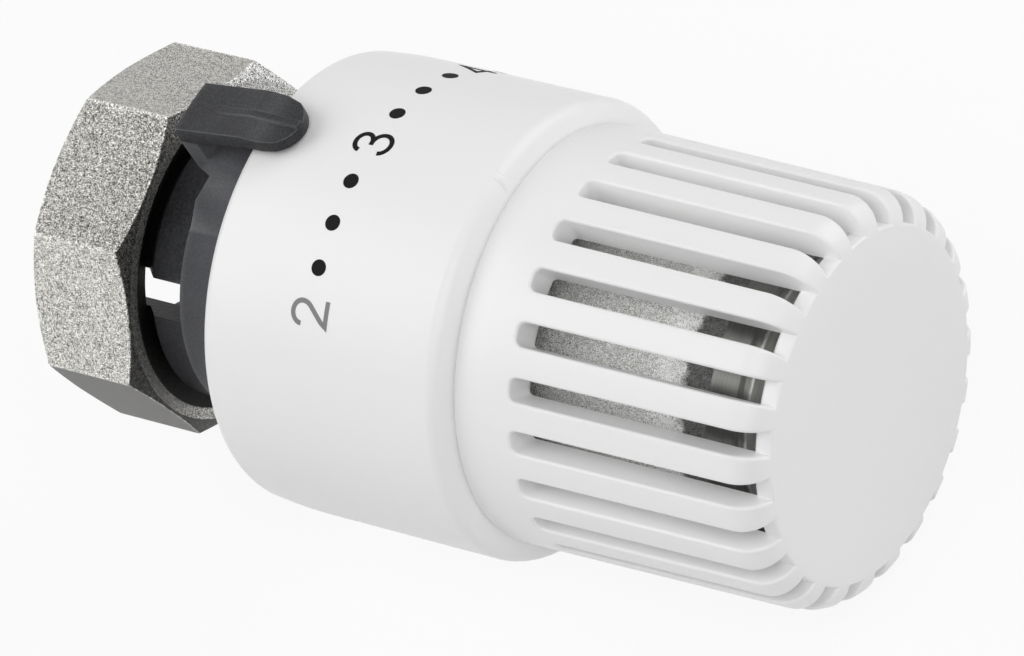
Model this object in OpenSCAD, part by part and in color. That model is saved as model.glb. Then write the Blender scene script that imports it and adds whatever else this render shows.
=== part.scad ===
// Thermostatic head for a radiator valve, in millimetres.
// The X axis runs along the head, from the valve to the flat end of the handwheel.
// X = 0 is the rear face of the union nut, and +Z passes the pointer's side of the head.
// The modules are drawn along their own Z axis, which along_x() lays on X.

/* [Valve connection] */
// Nominal diameter of the valve's thread
thread_d = 30; // [28:0.5:32]
// Pitch of the valve's thread
thread_pitch = 1.5; // [1:0.25:2]
// Depth of the nut's threaded part
thread_len = 7.2; // [5:0.1:9]
// Width of the octagonal nut across its flats
nut_flats = 36; // [35:0.5:42]
// Length of the nut
nut_len = 12.1; // [11.8:0.1:16]
// Turn of the nut's corners past the pointer's side, in degrees
nut_turn = -1.5; // [-22:0.5:22]
// Bore of the socket that takes the neck of the valve
socket_d = 22.8; // [21:0.1:23.2]
// Depth of that socket
socket_len = 5.3; // [4:0.1:5.5]

/* [Carrier] */
// Outer diameter of the snap fingers where they show in front of the nut
sleeve_d = 30; // [29:0.1:31]
// Width of each slot between two fingers
finger_slot_w = 4.1; // [2:0.1:6]
// Number of snap fingers
fingers = 3; // [2:1:6]
// Distance from the nut's front face to the end of the finger slots
sleeve_show = 4.6; // [3:0.1:5]
// Width of the pointer
pointer_w = 6.3; // [4:0.1:9]
// Length of the pointer from its rear edge to its tip
pointer_len = 14; // [12:0.1:16]
// Thickness of the pointer
pointer_t = 1.7; // [1.2:0.1:2]
// Turn of the pointer past the wheel's rest mark, in degrees
pointer_turn = 2; // [-5:0.5:5]
// Gap between the pointer and the skirt of the wheel
pointer_gap = 0.4; // [0.3:0.05:1]
// Wall of the threaded barrel outside its keyways
barrel_wall = 1.4; // [1.2:0.1:2]
// Number of keys between the carrier and the sensor holder
keys = 3; // [2:1:6]
// Width of each key
key_w = 3; // [2:0.1:4]

/* [Handwheel] */
// Largest diameter of the wheel, at its skirt
wheel_d = 47.2; // [46.4:0.1:50]
// Wall of the skirt and of the shoulder
skirt_wall = 2.2; // [1.6:0.1:2.6]
// Gap between the nut and the skirt with the wheel at its rest mark
wheel_gap = 12.7; // [12:0.1:15]
// Length of the smooth skirt
skirt_len = 29.1; // [29:0.1:36]
// Diameter of the ribbed part where it leaves the shoulder
grille_d = 42.6; // [42:0.1:43]
// Diameter of the ribbed part at the front
grille_front_d = 41.8; // [41:0.1:42]
// Depth of the ribs towards the axis
rib_depth = 3.5; // [2.5:0.1:4]
// Number of slots round the wheel
slots = 24; // [12:1:30]
// Width of each slot
slot_w = 2.4; // [1.2:0.1:2.8]
// Length of each slot, up to the back of the end disc
slot_len = 26.1; // [24:0.1:34]
// Rounding of the slot's rear corners
slot_round = 0.8; // [0.2:0.1:1]
// Distance from the shoulder to the rear end of the slots
slot_start = 6.5; // [5:0.1:8]
// Diameter of the flat end disc
disc_d = 36.1; // [35:0.1:37]
// Thickness of the end disc
disc_t = 2; // [1.5:0.1:3]
// Radius at which the ribs curve over to the end disc
nose_r = 3.4; // [3.2:0.1:4.2]
// Degrees that the wheel turns from the rest mark to shut
turn_to_shut = 180; // [90:5:200]
// Degrees that the wheel turns from the rest mark to fully open
turn_to_open = 90; // [45:5:100]
// Travel of the wheel along its thread for one whole turn
thread_lead = 6; // [4:0.5:6.5]

/* [Sensor] */
// Diameter of the liquid sensor
sensor_d = 30; // [28:0.1:30.4]
// Wall of the sensor's can
can_wall = 1.1; // [0.8:0.1:1.6]
// Length of the turned band at the front of the sensor
band_len = 3.1; // [2:0.1:4]
// Gap between the sensor and the end disc
sensor_gap = 2; // [1.5:0.1:3]
// Outer diameter of the bellows
bellows_d = 18.8; // [16:0.1:20]
// Number of folds in the bellows
folds = 7; // [4:1:9]
// Diameter of the push rod
rod_d = 4.4; // [3.6:0.1:4.8]
// Travel of the push rod when the room cools
cool_travel = 1; // [0.5:0.1:1.2]
// Travel of the push rod when the room warms
warm_travel = 2.5; // [1.5:0.1:2.6]

/* [Pressure piece] */
// Diameter of the pressure pin
pin_d = 12; // [9:0.1:12.4]
// Distance from the nut's rear face to the face of the pressure pin
pin_reach = 13; // [12.8:0.1:13.6]
// Mean diameter of the overtravel spring
spring_d = 12.4; // [12:0.1:13]
// Wire of the overtravel spring
spring_wire = 1.6; // [1.2:0.1:1.8]
// Turns of the overtravel spring
spring_turns = 5; // [4:0.5:5.5]
// Travel of the pressure pin against its spring
overtravel = 4; // [2:0.1:4]

/* [Hidden] */
$fn = 96;

// Clearances: slide is between keyed or guided pieces, run is round a turning fit
slide = 0.2;
run = 0.06;
eps = 0.01;

// Nut
thread_r = thread_d / 2 - 0.54125 * thread_pitch;
nut_corner_r = nut_flats / 2 / cos(180 / 8);
nut_ring_r = nut_flats / 2 - 0.3;
nut_front_chamfer = 1.04;
nut_rear_chamfer = 0.9;
undercut_len = 2;
undercut_r = thread_d / 2 + 0.3;
lip_len = 1.4;
lip_r = thread_r - 1;
mouth_r = nut_flats / 2 - 1.5;
undercut_x = thread_len;
lip_x = undercut_x + undercut_len;
mouth_x = lip_x + lip_len;

// Carrier: fingers, ring, barrel
hook_x = undercut_x + slide;
hook_len = undercut_len - 2 * slide;
hook_r = undercut_r - 0.6;
neck_r = lip_r - 0.1;
sleeve_r = sleeve_d / 2;
sleeve_x = mouth_x + 2 * slide;
sleeve_cone = sleeve_r - neck_r;
slot_end_x = nut_len + sleeve_show;
ring_r = sleeve_r + 0.6;
web_x = slot_end_x + 2.2;
web_t = 2.8;
wheel_x = nut_len + wheel_gap;

// Pointer: radii of its root, foot and underside, and places along the axis
root_r = ring_r + 1.7;
foot_r = wheel_d / 2 - skirt_wall - 1.1;
pointer_r = wheel_d / 2 + pointer_gap;
pointer_end = slot_end_x + pointer_len;
crest_x = slot_end_x + 0.6 * pointer_len;
tip_len = 3.4;
pillar_t = 2;
line_w = 0.9;
line_h = 0.2;
line_x = slot_end_x + 0.3 * pointer_len;

// Spring cup and the guide round it, from the axis outwards
spring_r = spring_d / 2;
cup_bore = spring_r + spring_wire / 2 + 1.2;
cup_wall = 0.8;
cup_r = cup_bore + cup_wall;
guide_bore = cup_r + slide;
guide_r = guide_bore + 2;
barrel_bore = guide_r + 1.8;
key_r = barrel_bore + 1.4;
keyway_r = key_r + slide;
barrel_r = keyway_r + barrel_wall;
neck_bore = cup_r + 1.6;
web_bore = cup_r + 0.6;

// Wheel: bores and walls
wheel_r = wheel_d / 2;
crown = 0.3;
crown_len = 7;
edge_r = 1.2;
shoulder_r = 2.6;
shoulder_turn = 76;
skirt_bore = wheel_r - skirt_wall;
boss_bore = barrel_r + run;
boss_r = boss_bore + 2.1;
sensor_r = sensor_d / 2;
holder_bore = max(sensor_r, barrel_r - 1) + 1.4;
grille_r = grille_d / 2;
grille_front_r = grille_front_d / 2;
grille_bore = grille_r - rib_depth;
disc_r = disc_d / 2;
shoulder_x = wheel_x + skirt_len;
slot_x = shoulder_x + slot_start;
disc_x = slot_x + slot_len;
wheel_end = disc_x + disc_t;

// Travel of the wheel and the sensor along the axis
shut_travel = thread_lead * turn_to_shut / 360;
open_travel = thread_lead * turn_to_open / 360;

// Places along the axis inside the wheel
stop_disc_x = wheel_x + 1.5;
stop_disc_t = 2.5;
stop_face_x = stop_disc_x + stop_disc_t;
stop_disc_r = skirt_bore - 0.6;
stop_rib_x = stop_face_x + shut_travel + 1;
stop_post_end = stop_rib_x + open_travel + 1.5;
boss_x = stop_rib_x + 1;
seat_x = shoulder_x - 0.7;
seat_t = 2;
barrel_end = seat_x - seat_t - shut_travel - 0.9;
relief_r = barrel_r - 0.8;
seat_bore = key_r + 2 * slide;

// Stops: a post on the carrier and a rib in the wheel, which meet at both ends of the turn
stop_clear = 1;
stop_post_w = 50;
stop_rib_w = 360 - turn_to_shut - turn_to_open - stop_post_w - 2 * stop_clear;
stop_post_turn = 180;
stop_rib_turn = stop_post_turn + turn_to_shut + stop_post_w / 2 + stop_rib_w / 2 + stop_clear;

// Places of the two limiting clips round the stop disc
clip_turns = [-70, -50];
clip_w = 5.6;
clip_clear = 0.7;
clip_share = 0.65;
clip_leg_r = stop_disc_r - clip_share * (stop_disc_r - ring_r);
clip_depth = (stop_disc_r - clip_leg_r) / 2;

// Sensor holder and sensor
washer_t = 0.5;
flange_x = seat_x + washer_t;
flange_t = 2.2;
flange_r = holder_bore - 0.15;
ring_x = flange_x + flange_t;
ring_t = 1;
groove_r = holder_bore + 0.7;
holder_end = ring_x + 1.9;
holder_front_r = holder_bore - 0.9;
guide_gap = 2.1;
guide_x = web_x + web_t + shut_travel + guide_gap;
gasket_t = 0.6;
sensor_x = holder_end + gasket_t;
sensor_flange_t = 1.8;
can_x = sensor_x + sensor_flange_t;
sensor_end = disc_x - sensor_gap;
cap_edge = 2.3;
band_x = sensor_end - cap_edge - band_len;
stem_r = 5.8;
hub_bore = stem_r + 0.1;
stem_len = 5.9;
stem_x = flange_x - stem_len;
sensor_nut_t = 3;
sensor_nut_flats = 15;
nut_x = flange_x - sensor_nut_t;
bush_bore = rod_d / 2 + run;
bush_r = rod_d / 2 + 1.2;
bush_len = 6;
end_recess = 1.2;
fill_r = 1.6;
fill_depth = 2;

// Bellows and rod
fold_wall = 0.4;
plate_t = 1.5;
plate_x = band_x - cool_travel - plate_t - 1.2;
bellows_r = bellows_d / 2;
bellows_root_r = bellows_r - 3;
cup_gap = 9.8;
cup_front = stem_x - cool_travel - cup_gap;
cup_floor = 1.5;
spring_end = cup_front - cup_floor;
rod_x = spring_end + 0.5;
collar_w = 2;
collar_t = 1.6;

// Pressure piece
cup_setback = 4;
cup_x = pin_reach + cup_setback;
spring_ring_x = cup_x + 1;
spring_ring_t = 0.8;
pin_flange_x = spring_ring_x + spring_ring_t;
pin_flange_t = 1.5;
pin_flange_r = cup_bore - 0.3;
pin_r = pin_d / 2;
ring_inner_r = pin_r + 0.5;
ring_groove_r = cup_bore + 0.4;
spring_x = pin_flange_x + pin_flange_t;
spring_len = spring_end - spring_x;
tip_t = 1.2;
spigot_gap = 1.2;

// Lays a solid's own Z axis on X, with its own X axis towards +Z
module along_x() {
    rotate([0, 90, 0]) rotate([0, 0, 180]) children();
}

// Sets children at an angle round the axis
module turned(angle) {
    rotate([0, 0, angle]) children();
}

// Repeats children evenly round the axis
module round_axis(count, first = 0) {
    for (i = [0 : count - 1]) turned(first + i * 360 / count) children();
}

// Ring between two radii, from x to x + len
module tube(inner, outer, x, len) {
    translate([0, 0, x]) difference() {
        cylinder(r = outer, h = len);
        translate([0, 0, -1]) cylinder(r = inner, h = len + 2);
    }
}

// Part of a ring, w degrees wide, centred on the module's own X axis
module sector(inner, outer, x, len, w) {
    translate([0, 0, x]) turned(-w / 2) rotate_extrude(angle = w)
        translate([inner, 0]) square([outer - inner, len]);
}

// Points of an arc in a profile, as [radius, place along the axis]
function arc(cr, cx, rad, a0, a1, steps) = [
    for (i = [0 : steps]) let (a = a0 + (a1 - a0) * i / steps) [cr + rad * cos(a), cx + rad * sin(a)]
];

// Octagonal nut with turned chamfers, a threaded rear and a lip that holds the fingers
module union_nut() {
    color("silver") along_x() difference() {
        intersection() {
            turned(nut_turn) cylinder(r = nut_corner_r, h = nut_len, $fn = 8);
            rotate_extrude() polygon([
                [0, 0],
                [nut_ring_r, 0],
                [nut_corner_r, nut_rear_chamfer],
                [nut_corner_r, nut_len - nut_front_chamfer],
                [nut_ring_r, nut_len],
                [0, nut_len]
            ]);
        }
        translate([0, 0, -1]) cylinder(r = thread_r, h = undercut_x + 1 + eps);
        translate([0, 0, undercut_x]) cylinder(r = undercut_r, h = undercut_len);
        translate([0, 0, lip_x - eps]) cylinder(r = lip_r, h = lip_len + 2 * eps);
        translate([0, 0, mouth_x]) cylinder(r1 = lip_r, r2 = mouth_r, h = nut_len - mouth_x + eps);
    }
}

// Profile of the carrier's turned wall, from the hooks to the end of the barrel
module carrier_profile() {
    socket_r = socket_d / 2;
    polygon([
        [socket_r, hook_x],
        [hook_r - 0.5, hook_x],
        [hook_r, hook_x + 0.5],
        [hook_r, hook_x + hook_len],
        [neck_r, hook_x + hook_len],
        [neck_r, sleeve_x],
        [sleeve_r, sleeve_x + sleeve_cone],
        [sleeve_r, slot_end_x],
        [ring_r, slot_end_x],
        [ring_r, stop_disc_x],
        [stop_disc_r, stop_disc_x],
        [stop_disc_r, stop_face_x],
        [relief_r, stop_face_x],
        [relief_r, boss_x],
        [barrel_r, boss_x + 0.8],
        [barrel_r, barrel_end - 0.8],
        [barrel_r - 0.8, barrel_end],
        [barrel_bore, barrel_end],
        [barrel_bore, web_x + web_t],
        [web_bore, web_x + web_t],
        [web_bore, web_x],
        [neck_bore, web_x],
        [neck_bore, hook_x + socket_len],
        [socket_r, hook_x + socket_len]
    ]);
}

// Side view of the pointer: a pillar on its foot, and an arm that rises forwards and reaches over the skirt
module pointer_side() {
    polygon([
        [ring_r - 1, slot_end_x + 1.5],
        [root_r, slot_end_x + 1.5],
        [root_r + 1.4, slot_end_x + 0.6],
        [pointer_r - pointer_t, slot_end_x],
        [pointer_r + 0.2, slot_end_x],
        [pointer_r + pointer_t, crest_x],
        [pointer_r + pointer_t - 0.2, pointer_end],
        [pointer_r, pointer_end],
        [pointer_r, wheel_x + 0.6],
        [pointer_r - pointer_t + 0.3, slot_end_x + pillar_t],
        [foot_r, slot_end_x + pillar_t + 0.4],
        [foot_r, stop_disc_x + 1],
        [ring_r - 1, stop_disc_x + 1]
    ]);
}

// Outline of the pointer from above, with its oval end
module pointer_plan() {
    half = pointer_w / 2;
    polygon(concat(
        [[slot_end_x - 1, half], [slot_end_x - 1, -half]],
        [for (a = [-90 : 10 : 90]) [pointer_end - tip_len + tip_len * cos(a), half * sin(a)]]
    ));
}

// Thickened part of the ring under the pointer, with flanks that run out along the ring
module pointer_root() {
    half = pointer_w / 2;
    run_out = ring_r - 0.3;
    spread = atan(half / root_r) + acos(run_out / norm([root_r, half]));
    difference() {
        intersection() {
            linear_extrude(stop_disc_x + 0.5) polygon([
                [0, 0],
                [run_out * cos(spread), -run_out * sin(spread)],
                [root_r, -half],
                [root_r, half],
                [run_out * cos(spread), run_out * sin(spread)]
            ]);
            rotate([90, 0, 0]) translate([0, 0, -ring_r]) linear_extrude(2 * ring_r) polygon([
                [0, slot_end_x + 0.1],
                [ring_r, slot_end_x + 0.1],
                [root_r + 1, slot_end_x + 2],
                [root_r + 1, stop_disc_x + 1],
                [0, stop_disc_x + 1]
            ]);
        }
        cylinder(r = ring_r - 0.6, h = stop_disc_x + 1);
    }
}

// Pointer with a raised line along its middle, on its thickened root
module pointer() {
    intersection() {
        rotate([90, 0, 0]) translate([0, 0, -pointer_w])
            linear_extrude(2 * pointer_w) pointer_side();
        rotate([0, -90, 0]) translate([0, 0, -2 * wheel_r])
            linear_extrude(2 * wheel_r) pointer_plan();
    }
    translate([0, -line_w / 2, 0]) rotate([90, 0, 0]) mirror([0, 0, 1]) linear_extrude(line_w)
        polygon([
            [pointer_r + 0.5, line_x],
            [pointer_r + pointer_t + line_h, crest_x],
            [pointer_r + pointer_t + line_h, pointer_end - 0.6],
            [pointer_r + 0.5, pointer_end - 0.6]
        ]);
    pointer_root();
}

// Black moulding that holds everything: snap fingers, pointer, stop disc and threaded barrel
module base_carrier() {
    post_x = stop_face_x - 0.5;
    color([0.16, 0.16, 0.17]) along_x() {
        difference() {
            rotate_extrude() carrier_profile();
            round_axis(fingers, 180 / fingers)
                translate([0, -finger_slot_w / 2, hook_x - 1])
                    cube([hook_r + 3, finger_slot_w, slot_end_x - hook_x + 1]);
            round_axis(keys)
                translate([0, -key_w / 2 - slide / 2, web_x + web_t + 0.5])
                    cube([keyway_r, key_w + slide, barrel_end]);
            for (turn = clip_turns) turned(turn) sector(
                stop_disc_r - clip_depth - 0.1,
                stop_disc_r + 1,
                stop_disc_x - 1,
                stop_disc_t + 2,
                clip_w + 2 * clip_clear
            );
        }
        turned(pointer_turn) pointer();
        turned(stop_post_turn)
            sector(boss_r + 0.4, stop_disc_r, post_x, stop_post_end - post_x, stop_post_w);
    }
}

// Two clips that hook over the rim of the stop disc, parked side by side
module limit_clips() {
    leg = 0.7;
    back_r = stop_disc_r - clip_depth;
    color("firebrick") along_x() for (turn = clip_turns) turned(turn) {
        sector(back_r, stop_disc_r + 0.25, stop_disc_x - leg, stop_disc_t + 2 * leg, clip_w);
        sector(clip_leg_r, back_r + eps, stop_disc_x - leg, leg, clip_w);
        sector(clip_leg_r, back_r + eps, stop_face_x, leg, clip_w);
    }
}

// Holder that slides on keys in the barrel and carries the sensor on its hub
module sensor_holder() {
    color("dimgray") along_x() {
        rotate_extrude() polygon([
            [guide_bore, guide_x],
            [guide_r, guide_x],
            [guide_r, flange_x],
            [flange_r, flange_x],
            [flange_r, ring_x],
            [holder_front_r, ring_x],
            [holder_front_r, holder_end],
            [hub_bore, holder_end],
            [hub_bore, flange_x],
            [guide_bore, flange_x]
        ]);
        round_axis(keys) translate([guide_r - 0.3, -key_w / 2, guide_x])
            cube([key_r - guide_r + 0.3, key_w, seat_x - seat_t - 0.5 - guide_x]);
    }
}

// Slip washer between the wheel's seat and the holder's flange
module thrust_washer() {
    color("ivory") along_x() tube(seat_bore + 0.1, holder_bore - 0.1, seat_x, washer_t);
}

// Split ring that keeps the holder in the wheel and lets the wheel turn round it
module holder_ring() {
    gap_w = 5;
    color("silver") along_x() difference() {
        tube(holder_front_r + 0.2, groove_r - 0.05, ring_x + 0.05, ring_t);
        translate([0, -gap_w / 2, ring_x - 1]) cube([groove_r + 1, gap_w, ring_t + 2]);
    }
}

// Outline of the wheel's skirt, shoulder and ribbed part, with its bores
module wheel_profile() {
    ring_end = slot_x - 0.7;
    nose_x = wheel_end - nose_r;
    full_turn = 90;
    nose_rim = asin((disc_r - grille_front_r + nose_r) / nose_r);
    polygon(concat(
        [[skirt_bore, wheel_x]],
        arc(wheel_r - crown - edge_r, wheel_x + edge_r, edge_r, -full_turn, 0, 5),
        [[wheel_r - crown / 3, wheel_x + crown_len / 2], [wheel_r, wheel_x + crown_len]],
        arc(wheel_r - shoulder_r, shoulder_x - shoulder_r, shoulder_r, 0, shoulder_turn, 7),
        [[grille_r, shoulder_x]],
        arc(grille_front_r - nose_r, nose_x, nose_r, 0, full_turn - nose_rim, 7),
        [
            [disc_r, wheel_end - 0.3],
            [disc_r - 0.3, wheel_end],
            [0, wheel_end],
            [0, disc_x],
            [grille_bore, disc_x],
            [grille_bore, ring_end],
            [holder_bore, ring_end],
            [holder_bore, ring_x + ring_t + 0.1],
            [groove_r, ring_x + ring_t + 0.1],
            [groove_r, ring_x],
            [holder_bore, ring_x],
            [holder_bore, seat_x],
            [seat_bore, seat_x],
            [seat_bore, seat_x - seat_t],
            [boss_bore, seat_x - seat_t],
            [boss_bore, boss_x + 0.6],
            [boss_bore + 0.6, boss_x],
            [boss_r, boss_x],
            [boss_r, shoulder_x - skirt_wall - 0.4],
            [skirt_bore, shoulder_x - skirt_wall - 1.6]
        ]
    ));
}

// Slot between two ribs, with rounded rear corners, open at the front
module slot_cut() {
    half = slot_w / 2;
    translate([grille_bore - 1, 0, 0]) rotate([0, 90, 0]) linear_extrude(wheel_r) {
        translate([-wheel_end - 1, -half]) square([wheel_end + 1 - slot_x - slot_round, slot_w]);
        translate([-slot_x - slot_round - eps, -half + slot_round])
            square([slot_round + eps, slot_w - 2 * slot_round]);
        for (side = [-1, 1])
            translate([-slot_x - slot_round, side * (half - slot_round)]) circle(r = slot_round);
    }
}

// One-piece white handwheel: skirt with the dial, threaded boss, ribbed grille and end disc
module handwheel() {
    color("whitesmoke") along_x() {
        difference() {
            rotate_extrude() wheel_profile();
            difference() {
                round_axis(slots, 180 / slots) slot_cut();
                translate([0, 0, slot_x - 2]) cylinder(r = grille_bore, h = slot_len + 2);
                translate([0, 0, disc_x]) cylinder(r = disc_r, h = disc_t + 2);
            }
        }
        turned(stop_rib_turn) sector(
            boss_r - 0.2,
            skirt_bore + 0.2,
            stop_rib_x,
            shoulder_x - skirt_wall - 1.6 - stop_rib_x,
            stop_rib_w
        );
    }
}

// Rubber gasket between the holder and the sensor
module sensor_gasket() {
    color([0.2, 0.2, 0.2]) along_x() tube(stem_r + 1.5, sensor_r - 1, holder_end, gasket_t);
}

// Rear closure of the sensor, with the threaded stem that the nut clamps
module sensor_flange() {
    color("goldenrod") along_x() difference() {
        union() {
            translate([0, 0, sensor_x]) cylinder(r = sensor_r, h = sensor_flange_t);
            translate([0, 0, stem_x]) cylinder(r = stem_r, h = sensor_x - stem_x + eps);
        }
        translate([0, 0, stem_x - 1]) cylinder(r = bush_r, h = can_x - stem_x + 2);
    }
}

// Hexagonal nut that clamps the sensor to the holder's hub
module sensor_nut() {
    corner_r = sensor_nut_flats / 2 / cos(30);
    color("silver") along_x() difference() {
        translate([0, 0, nut_x]) intersection() {
            cylinder(r = corner_r, h = sensor_nut_t, $fn = 6);
            cylinder(r1 = corner_r - 0.7, r2 = corner_r + 1.6, h = sensor_nut_t);
        }
        translate([0, 0, nut_x - 1]) cylinder(r = stem_r, h = sensor_nut_t + 2);
    }
}

// Plain bush that guides the push rod in the stem
module rod_bush() {
    color("ivory") along_x() tube(bush_bore, bush_r, stem_x, bush_len);
}

// Drawn metal can round the sensor's liquid
module sensor_can() {
    color("lightgray") along_x() tube(sensor_r - can_wall, sensor_r, can_x, band_x - can_x);
}

// Front closure of the sensor: a turned band, a rolled edge and a recessed end
module sensor_end_cap() {
    recess_r = sensor_r - 4;
    edge_x = band_x + band_len;
    color("gainsboro") along_x() rotate_extrude() polygon([
        [0, band_x],
        [sensor_r - can_wall - 0.5, band_x],
        [sensor_r, band_x],
        [sensor_r, edge_x],
        [sensor_r - 0.4, edge_x + 0.4],
        [sensor_r - 0.4, sensor_end - 1],
        [sensor_r - 1.4, sensor_end],
        [recess_r, sensor_end],
        [recess_r - 0.8, sensor_end - end_recess],
        [fill_r, sensor_end - end_recess],
        [fill_r, sensor_end - end_recess - fill_depth],
        [0, sensor_end - end_recess - fill_depth]
    ]);
}

// Plug that seals the filling hole of the sensor
module fill_plug() {
    head_r = fill_r + 0.9;
    color("silver") along_x() rotate_extrude() polygon([
        [0, sensor_end - end_recess - fill_depth],
        [fill_r, sensor_end - end_recess - fill_depth],
        [fill_r, sensor_end - end_recess],
        [head_r, sensor_end - end_recess],
        [head_r - 0.4, sensor_end - 0.4],
        [0, sensor_end - 0.4]
    ]);
}

// Corrugated metal bellows between the rear closure and the moving plate
module bellows() {
    neck = 1;
    fold = (plate_x - can_x - 2 * neck) / folds;
    outer = concat(
        [[bellows_root_r, can_x], [bellows_root_r, can_x + neck]],
        [for (i = [0 : folds - 1]) each [
            [bellows_r, can_x + neck + (i + 0.35) * fold],
            [bellows_r, can_x + neck + (i + 0.65) * fold],
            [bellows_root_r, can_x + neck + (i + 0.9) * fold],
            [bellows_root_r, can_x + neck + (i + 1.1) * fold]
        ]],
        [[bellows_root_r, plate_x]]
    );
    last = len(outer) - 1;
    color("darkkhaki") along_x() rotate_extrude()
        polygon(concat(outer, [for (i = [0 : last]) outer[last - i] - [fold_wall, 0]]));
}

// Plate that closes the bellows and bears on the push rod
module bellows_plate() {
    color("darkkhaki") along_x() translate([0, 0, plate_x]) cylinder(r = bellows_r - 0.4, h = plate_t);
}

// Rod from the bellows to the spring cup, with a seating collar
module push_rod() {
    rod_r = rod_d / 2;
    color("gainsboro") along_x() {
        translate([0, 0, rod_x]) cylinder(r = rod_r, h = plate_x - rod_x);
        translate([0, 0, cup_front]) cylinder(r = rod_r + collar_w, h = collar_t);
    }
}

// Steel cup that the rod pushes, with a groove for its ring
module spring_cup() {
    rod_r = rod_d / 2;
    color("lightsteelblue") along_x() rotate_extrude() polygon([
        [cup_bore, cup_x],
        [cup_r, cup_x],
        [cup_r, cup_front - 0.8],
        [cup_r - 0.8, cup_front],
        [rod_r, cup_front],
        [rod_r, rod_x],
        [0, rod_x],
        [0, spring_end],
        [cup_bore, spring_end],
        [cup_bore, pin_flange_x],
        [ring_groove_r, pin_flange_x],
        [ring_groove_r, spring_ring_x],
        [cup_bore, spring_ring_x]
    ]);
}

// Overtravel spring: a round wire carried along a helix
module overtravel_spring() {
    sides = 8;
    per_turn = 20;
    steps = round(spring_turns * per_turn);
    wire_r = spring_wire / 2;
    pitch_run = spring_len - spring_wire;
    points = [
        for (i = [0 : steps])
            let (a = 360 * i / per_turn, z = spring_x + wire_r + pitch_run * i / steps)
            for (j = [0 : sides - 1])
                let (b = 360 * j / sides)
                [
                    (spring_r + wire_r * cos(b)) * cos(a),
                    (spring_r + wire_r * cos(b)) * sin(a),
                    z + wire_r * sin(b)
                ]
    ];
    walls = [
        for (i = [0 : steps - 1], j = [0 : sides - 1])
            let (k = (j + 1) % sides)
            [i * sides + j, (i + 1) * sides + j, (i + 1) * sides + k, i * sides + k]
    ];
    first = [for (j = [0 : sides - 1]) j];
    last = [for (j = [0 : sides - 1]) steps * sides + sides - 1 - j];
    color("slategray") along_x()
        polyhedron(points = points, faces = concat(walls, [first, last]), convexity = 8);
}

// Snap ring that keeps the pressure pin in the cup
module spring_ring() {
    gap_w = 3;
    color("silver") along_x() difference() {
        tube(ring_inner_r, ring_groove_r - 0.05, spring_ring_x, spring_ring_t);
        translate([0, -gap_w / 2, spring_ring_x - 1]) cube([cup_r, gap_w, spring_ring_t + 2]);
    }
}

// Pressure pin: a shoe for the valve's stem, a flange under the ring and a spigot in the spring
module pressure_pin() {
    spigot_r = spring_r - spring_wire / 2 - 0.6;
    spigot_end = spring_end - overtravel - spigot_gap;
    color("whitesmoke") along_x() rotate_extrude() polygon([
        [0, pin_reach + tip_t],
        [pin_r, pin_reach + tip_t],
        [pin_r, pin_flange_x],
        [pin_flange_r, pin_flange_x],
        [pin_flange_r, spring_x],
        [spigot_r, spring_x],
        [spigot_r, spigot_end - 1],
        [spigot_r - 1, spigot_end],
        [0, spigot_end]
    ]);
}

// Hard face on the pressure pin, where the valve's stem bears
module pin_tip() {
    color("silver") along_x() translate([0, 0, pin_reach])
        cylinder(r1 = pin_r - 0.8, r2 = pin_r - 0.2, h = tip_t);
}

union_nut();
base_carrier();
limit_clips();
sensor_holder();
thrust_washer();
holder_ring();
handwheel();
sensor_gasket();
sensor_flange();
sensor_nut();
rod_bush();
sensor_can();
sensor_end_cap();
fill_plug();
bellows();
bellows_plate();
push_rod();
spring_cup();
overtravel_spring();
spring_ring();
pressure_pin();
pin_tip();
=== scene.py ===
"""Dressed model of a thermostatic radiator valve head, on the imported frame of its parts."""

import math

import bmesh
import bpy
import numpy as np
from mathutils import Matrix, Vector


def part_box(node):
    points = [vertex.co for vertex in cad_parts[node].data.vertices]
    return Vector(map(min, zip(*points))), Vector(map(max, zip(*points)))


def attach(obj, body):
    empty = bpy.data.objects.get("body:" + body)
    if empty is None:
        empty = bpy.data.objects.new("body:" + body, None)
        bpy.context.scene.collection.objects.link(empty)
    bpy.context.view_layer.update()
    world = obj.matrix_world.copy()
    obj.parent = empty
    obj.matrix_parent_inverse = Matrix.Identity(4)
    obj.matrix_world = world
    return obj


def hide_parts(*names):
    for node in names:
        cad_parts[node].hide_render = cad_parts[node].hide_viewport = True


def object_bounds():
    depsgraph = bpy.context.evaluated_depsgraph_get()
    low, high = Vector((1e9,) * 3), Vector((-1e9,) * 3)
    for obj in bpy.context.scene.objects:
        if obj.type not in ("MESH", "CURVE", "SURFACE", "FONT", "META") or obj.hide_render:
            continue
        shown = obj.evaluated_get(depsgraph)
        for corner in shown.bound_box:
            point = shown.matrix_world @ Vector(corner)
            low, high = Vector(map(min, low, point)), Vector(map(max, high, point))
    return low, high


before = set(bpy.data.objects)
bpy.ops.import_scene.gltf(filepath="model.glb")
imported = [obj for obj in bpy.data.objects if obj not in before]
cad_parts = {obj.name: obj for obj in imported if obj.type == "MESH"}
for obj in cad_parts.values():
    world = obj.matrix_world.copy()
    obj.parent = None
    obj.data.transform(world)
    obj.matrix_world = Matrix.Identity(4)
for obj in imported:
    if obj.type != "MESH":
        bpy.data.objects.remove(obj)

bl_info = {
    "name": "Radiator valve head",
    "version": (1, 0, 0),
    "blender": (4, 5, 0),
    "location": "View3D > Sidebar > Valve Head",
    "description": "Builds the dressed parts of a thermostatic radiator valve head",
    "category": "Add Mesh",
}

MM = 0.001
CAD_LOW, CAD_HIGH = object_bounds()


def low_mm(node, axis):
    """Lowest place of a part along an axis, in millimetres."""
    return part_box(node)[0][axis] / MM


def high_mm(node, axis):
    """Highest place of a part along an axis, in millimetres."""
    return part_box(node)[1][axis] / MM


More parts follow.
